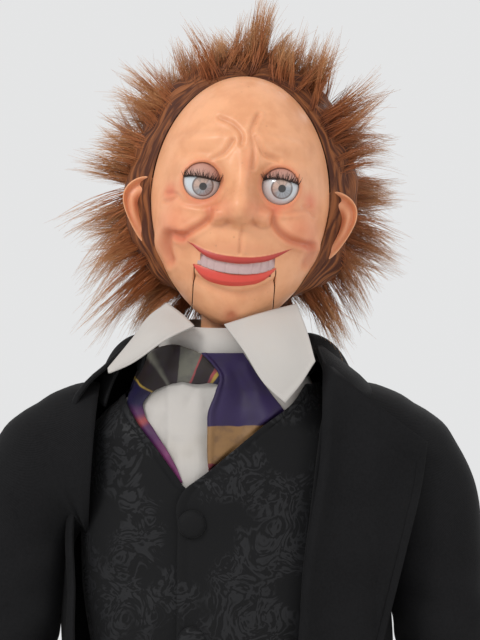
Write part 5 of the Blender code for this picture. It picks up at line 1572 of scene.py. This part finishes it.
def finger(start, way, long, radius, curl, sign):
    """A path that turns inwards steadily, as (1 - cos, sin) of a growing angle, with a radius that bulges twice."""
    t = np.linspace(0, 1, 16)
    turned = curl * t
    drop = np.sin(turned) / max(curl, 1e-3) * long
    inward = (1 - np.cos(turned)) / max(curl, 1e-3) * long
    path = (start + np.stack([-sign * inward + way[0] * t * long, way[1] * t * long,
                -drop * (1 - 0.4 * abs(way[1]))], -1))
    swell = (radius * (1.0 - 0.22 * t + 0.10 * bump(t - 0.36, 0.08) + 0.07 * bump(t - 0.68, 0.07))
        * np.sqrt(1 - np.clip((t - 0.80) / 0.205, 0, 1) ** 2))
    return tube("finger", path, swell, PLAIN_SKIN, sides=16)


def hand(side, sign):
    """A palm, four fingers and a thumb, joined: each finger is (place across, length, radius in millimetres)."""
    top = np.array([sign * 0.165, MIDDLE, WRIST[2] - 0.0012])
    pieces = [palm_form(top, sign)]
    for y, long, thick in ((-0.0150, 0.0270, 5.3), (-0.0055, 0.0320, 5.5), (0.0045, 0.0300, 5.4),
            (0.0135, 0.0230, 4.8)):
        pieces.append(finger(top + np.array([0, y, -0.0415]), (0, 0.0), long + 0.004, thick / 1000, 0.42,
                sign))
    pieces.append(finger(top + np.array([-sign * 0.002, -0.0125, -0.0185]), (0, -0.46), 0.034, 0.0056, 0.25,
            sign))
    whole = joined(f"{side}_hand_cast", *pieces)
    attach(whole, f"{side}_forearm")
    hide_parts(f"{side}_hand")


for side, sign in (("left", 1), ("right", -1)):
    hand(side, sign)
print("hands made")

# %% [markdown]
# ## Trousers and stuffed legs
# The seat is a band of cloth round the body. Each leg is an upper tube that starts inside the seat and a
# lower one that starts inside the upper, so that they overlap at the hip and the knee. Creases gather behind
# the knee and at the hem, where the cloth breaks over the shoe.

# %% The trousers' seat
HIP = np.array([0.044, -0.056, -0.150])
KNEE = np.array([0.046, -0.068, -0.305])
ANKLE = np.array([0.047, MIDDLE, -0.446])
Z, A = np.meshgrid(np.linspace(0, 1, 34), np.linspace(-np.pi, np.pi, 160, endpoint=False), indexing="ij")
lowest = -0.1072 - 0.024 * bump(np.sin(A), 0.30)
z_here = -0.0545 + (lowest + 0.0545) * Z
seat = surface("trouser_seat", around_body(A, z_here, 0.0018
        + 0.0012 * folds(A * 82, z_here * 1000, 16, 2.0) * ramp(0.1, 0.5, Z)), SUIT, closed=(False, True),
    size=(0.06, 0.42), flip=True)
garment(seat, "body", 0.0014, "stretched", ["shirt_body"], "suit", "trousers_seat", shape=6)


# %% The legs
def leg(side, sign):
    """One leg: two lofts of trouser cloth that overlap at the knee, and two stuffed pieces inside."""

    def crease(a):
        """The pressed crease down the front."""
        return 0.05 * bump(np.abs(np.sin((a + np.pi / 2) / 2)), 0.05) * 0.35

    def top_slack(a, t):
        """The crease, slack below the seat, and folds above the knee."""
        slack = 0.028 * folds(15 * np.sin(a), 9 * np.cos(a) + t * 1000, 19, sign * 0.5) * ramp(0.0, 0.04, t)
        return crease(a) + slack + 0.030 * np.sin(2 * a + 90 * t) * bump(t - 0.205, 0.02)

    def end_slack(a, t):
        """The crease, slack, the break over the shoe and a line of stitching at the hem."""
        slack = 0.026 * folds(15 * np.sin(a), 9 * np.cos(a) + t * 1000, 18, sign * 1.3)
        return (crease(a) + slack + 0.030 * np.sin(3 * a + 200 * t) * bump(t - 0.128, 0.012)
            - 0.012 * bump(t - 0.141, 0.0010))

    upper_rings = [(0.0405, -0.0530, -0.1010, 90, 0.0380, 0.0470),
        (0.0410, -0.0535, -0.1150, 90, 0.0390, 0.0465), (0.0430, -0.0550, -0.1450, 90, 0.0395, 0.0420),
        (0.0440, -0.0570, -0.1750, 90, 0.0385, 0.0400), (0.0450, -0.0610, -0.2200, 90, 0.0372, 0.0388),
        (0.0458, -0.0650, -0.2700, 90, 0.0362, 0.0378), (0.0460, -0.0680, -0.3050, 90, 0.0362, 0.0376),
        (0.0460, -0.0680, -0.3140, 90, 0.0358, 0.0370)]
    upper = loft(f"{side}_trouser_top", upper_rings, SUIT, sign, top_slack, segments=84, size=(0.21, 0.24))
    garment(upper, None, 0.0016, "hung", [f"{side}_thigh_stuffed"], "suit", f"{side}_trouser_upper",
        blend=("body", f"{side}_thigh", on_side(sign, 0.044, -0.056, -0.122),
            on_side(sign, 0.044, -0.060, -0.180)))
    lower_rings = [(0.0460, -0.0680, -0.2960, 90, 0.0336, 0.0348),
        (0.0460, -0.0675, -0.3100, 90, 0.0344, 0.0358), (0.0462, -0.0655, -0.3450, 90, 0.0346, 0.0360),
        (0.0466, -0.0600, -0.3950, 90, 0.0346, 0.0358), (0.0470, -0.0550, -0.4300, 90, 0.0352, 0.0362),
        (0.0470, -0.0530, -0.4410, 90, 0.0356, 0.0366)]
    lower = loft(f"{side}_trouser_end", lower_rings, SUIT, sign, end_slack, segments=84, size=(0.15, 0.23))
    garment(lower, None, 0.0016, "hung", [f"{side}_shin_stuffed"], "suit", f"{side}_trouser_lower",
        blend=(f"{side}_thigh", f"{side}_shin", on_side(sign, 0.046, -0.068, -0.294),
            on_side(sign, 0.046, -0.067, -0.322)))
    stuffed(f"{side}_thigh_stuffed", [HIP, KNEE], sign,
        [(-0.10, 0.004), (-0.05, 0.0180), (0.15, 0.0225), (0.5, 0.0225), (0.8, 0.0190), (0.9, 0.0130),
            (0.98, 0.0160), (1.05, 0.0140), (1.09, 0.002)], f"{side}_thigh")
    stuffed(f"{side}_shin_stuffed", [KNEE, ANKLE], sign,
        [(0.14, 0.004), (0.17, 0.0150), (0.3, 0.0200), (0.6, 0.0185), (0.94, 0.0150), (0.985, 0.004)],
        f"{side}_shin")


for side, sign in (("left", 1), ("right", -1)):
    leg(side, sign)
print("legs dressed")

# %% [markdown]
# ## Shoes
# A laced shoe is an upper drawn over a last and stitched to a sole. The upper is a loft along the foot: at
# each step a half oval with its own width and height. The sole is the same outline, a little larger, and
# flat.

# %% Shoes
# The last is the form inside a shoe: (distance from the heel, half width, height), in millimetres.
LAST = [(0, 4, 44), (3, 13, 50), (12, 20.5, 54), (30, 22.5, 54), (46, 22.5, 50), (58, 23, 42), (72, 24.3, 34),
    (90, 25.4, 28.5), (106, 24, 24.5), (118, 18.5, 19.5), (124.5, 10, 14), (126.5, 1, 9)]
HALF_WIDTHS, HEIGHTS = [(at, wide) for at, wide, _ in LAST], [(at, high) for at, _, high in LAST]
LENGTH, HEEL = 126.5, 0.036


def shoe_upper():
    """Half ovals along the foot, from the sole's edge over the top, with stitching, creases and a tongue."""
    f_mm = np.concatenate([np.linspace(0, 12, 12), np.linspace(13.5, 112, 56), np.linspace(113, 126.5, 16)])
    wide, high = (curve(f_mm, line, steady=True)[:, None] / 1000 for line in (HALF_WIDTHS, HEIGHTS))
    forward = f_mm[:, None] / 1000
    a = np.linspace(0, np.pi, 58)[None, :]
    cap = (bump(forward - 0.098 - 0.006 * np.sin(a), 0.0006)
        + bump(forward - 0.030, 0.0006) * ramp(0.2, 0.5, np.abs(np.cos(a))))
    creases = ((bump(forward - 0.083, 0.0016) + bump(forward - 0.088, 0.0014)
            + bump(forward - 0.0775, 0.0014)) * ramp(0.2, 0.9, np.sin(a)))
    tongue = 0.0010 * ramp(0.075, 0.068, forward) * ramp(0.30, 0.20, np.abs(np.cos(a)))
    out = 1 - 0.016 * cap - 0.02 * creases
    x = wide * np.sign(np.cos(a)) * np.abs(np.cos(a)) ** 0.75 * out
    z = 0.0085 + (high - 0.0085) * np.sin(a) ** 0.85 * out + tongue
    grid = np.stack([x, HEEL - forward + 0 * a, z], -1)
    inside = (forward > 0.006) & (forward < 0.047) & (np.abs(x) < 0.0165) & (z > 0.043)
    return wall(surface("upper", grid, SHOE_LEATHER, size=(0.13, 0.09), hole=inside, flip=True), 0.0016, -1.0)


def shoe_sole():
    """The last's outline a little larger, in rows of (share of the width, height), hollow under the waist."""
    rows = np.array([(0.0, 0.0), (1.02, 0.0), (1.06, 0.0012), (1.07, 0.0052), (1.05, 0.0085), (0.90, 0.0092),
            (0.0, 0.0092)])
    b = np.linspace(0, 2 * np.pi, 72, endpoint=False)
    along = 0.5 - 0.5 * np.cos(b)
    half = curve(along * LENGTH, [(at, wide + 1.2) for at, wide in HALF_WIDTHS], steady=True) / 1000
    centre = 0.063
    k, lift = rows[:, :1], rows[:, 1:]
    waist = 0.0036 * bump(0.036 + 0.0265 - (0.036 - along * 0.1265) - 0.044, 0.013) * (lift < 0.003)
    px = half * np.sign(np.sin(b)) * np.minimum(1, np.abs(np.sin(b)) * 8) * k
    py = HEEL - centre - (along * 0.1265 - centre) * (1 + (k - 1) * 0.4) * (k > 0)
    grid = np.stack([px, py + 0 * k, lift + waist * (k > 0)], -1)
    return surface("sole", grid, SOLE, closed=(False, True), size=(0.01, 0.3), flip=False)


def laces():
    """Four slanting rows of lace over the tongue, and a bow of two loops."""
    parts = []
    for n_, at in enumerate((0.050, 0.057, 0.064, 0.071)):
        t = np.linspace(-1, 1, 15)
        ridge = float(curve(np.array([at * 1000]), HEIGHTS)[0]) / 1000
        path = np.stack([0.0085 * t, HEEL - at - 0.0028 * t * (-1) ** n_, ridge + 0.0012 - 0.0034 * t**2], -1)
        parts.append(tube("lace", path, 0.00095, LACE, sides=8))
    for way in (-1, 1):
        t = np.linspace(0, 2 * np.pi, 26)
        loop = np.stack([way * (0.0072 - 0.0072 * np.cos(t)) * 0.9,
                HEEL - 0.048 - 0.0034 * np.sin(t) - 0.0016 * (1 - np.cos(t)),
                0.0535 - 0.0034 * (1 - np.cos(t)) + 0 * t], -1)
        parts.append(tube("bow", loop, 0.00085, LACE, sides=8))
    return parts


def shoe(side, sign):
    """One shoe, turned out by seven degrees about its heel and set under the ankle."""
    whole = joined(f"{side}_laced_shoe", shoe_upper(), shoe_sole(), *laces())
    turn_ = np.radians(7 * sign)
    spin = np.array([[np.cos(turn_), -np.sin(turn_), 0], [np.sin(turn_), np.cos(turn_), 0], [0, 0, 1]])
    co = np.zeros(len(whole.data.vertices) * 3, np.float32)
    whole.data.vertices.foreach_get("co", co)
    co = co.reshape(-1, 3) @ spin.T + np.array([sign * ANKLE[0], MIDDLE, -0.5])
    whole.data.vertices.foreach_set("co", co.astype(np.float32).ravel())
    whole.data.update()
    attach(whole, f"{side}_shin")
    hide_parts(f"{side}_shoe")


LACE = woven("shoe_lace", (0.010, 0.010, 0.010), (0.030, 0.029, 0.028), 0.0009, roughness=0.7,
    Specular_IOR_Level=0.3)
for side, sign in (("left", 1), ("right", -1)):
    shoe(side, sign)
print("shoes made")

# %% [markdown]
# ## Finishes for the hidden works
# The boards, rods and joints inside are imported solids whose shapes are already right, so they keep their
# meshes and only get a better finish. They show through the hand opening in the back, and when a limb or
# the head moves.

# %% Hidden works
WORKS = {WOOD: ("base_board", "shoulder_board", "neck_socket_cup", "head_stick"),
    BOARD: ("torso_front", "torso_back"), STEEL: ("hip_rod", "hip_hanger", "left_arm_bolt", "right_arm_bolt",
        "jaw_axle", "jaw_spring", "eye_rocker", "eye_bracket"), BRASS: ("jaw_lever",),
    FELT: ("neck_felt_ring",), TWINE: ("jaw_cord",), PLAIN_SKIN: ("neck", "skull_back"),}
for finish, names in WORKS.items():
    for name in names:
        mesh = NODES[name].data
        mesh.materials.clear()
        mesh.materials.append(finish)
print("finished", sum(map(len, WORKS.values())), "packed pieces")

# %% [markdown]
# ## The stage
# A pale floor, one large soft lamp high on the left, a weaker one on the right and an even pale sky give
# the soft shade of a bright room. The camera stands level with the collar, straight in front.

# %% Floor and sky
a = np.linspace(0, 2 * np.pi, 96, endpoint=False)
r = np.array([0, 0.35, 0.75, 1.1, 1.5])[:, None]
disc = np.stack([r * np.cos(a), r * np.sin(a), 0 * r * a - 0.5005], -1)
f = Finish("studio_floor", Specular_IOR_Level=0.2)
floor_disc = surface("studio_floor", disc, f.paint(f.mix(f.noise(6, 3), (0.74, 0.735, 0.72),
            (0.80, 0.795, 0.78)), 0.8, f.noise(90), 0.0003, 0.2), closed=(False, True), flip=True)
floor_disc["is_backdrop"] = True

world = bpy.data.worlds.new("studio")
bpy.context.scene.world = world
world.use_nodes = True
world.node_tree.nodes["Background"].inputs[0].default_value = (0.95, 0.955, 0.96, 1)
world.node_tree.nodes["Background"].inputs[1].default_value = 0.82
print("floor and sky")


# %% Lamps, camera and size
def lamp(name, place, aim, size, watts, colour):
    """A round soft lamp at a place, turned to face its aim."""
    light = bpy.data.lights.new(name, "AREA")
    light.shape, light.size, light.energy, light.color = "DISK", size, watts, colour
    holder = bpy.data.objects.new(name, light)
    holder.location = place
    holder.rotation_euler = (Vector(aim) - Vector(place)).to_track_quat("-Z", "Y").to_euler()
    bpy.context.scene.collection.objects.link(holder)


lamp("window", (-1.3, -1.5, 1.7), (0, -0.05, 0.2), 0.85, 25, (1.0, 0.985, 0.96))
lamp("fill", (1.6, -1.2, 0.7), (0, -0.05, 0.15), 1.2, 5, (1.0, 0.93, 0.86))
lamp("behind", (0.6, 1.6, 1.3), (0, 0, 0.2), 1.0, 9, (1.0, 1.0, 1.0))

camera = bpy.data.objects.new("camera", bpy.data.cameras.new("camera"))
bpy.context.scene.collection.objects.link(camera)
bpy.context.scene.camera = camera
camera.location = (0.0095, -2.075, 0.2385)
camera.rotation_euler = (np.pi / 2, 0, 0)
camera.data.lens = 169.0
bpy.context.scene.view_settings.view_transform = "Standard"
bpy.context.scene.view_settings.exposure = 0.0

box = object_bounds()
grown = [(round((box[0][i] - cad_box[0][i]) * 1000, 1), round((box[1][i] - cad_box[1][i]) * 1000, 1))
    for i in range(3)]
room = [round(0.03 * (cad_box[1][i] - cad_box[0][i]) * 1000 + 10, 1) for i in range(3)]
print("beyond the packed box, mm", grown, "room", room)
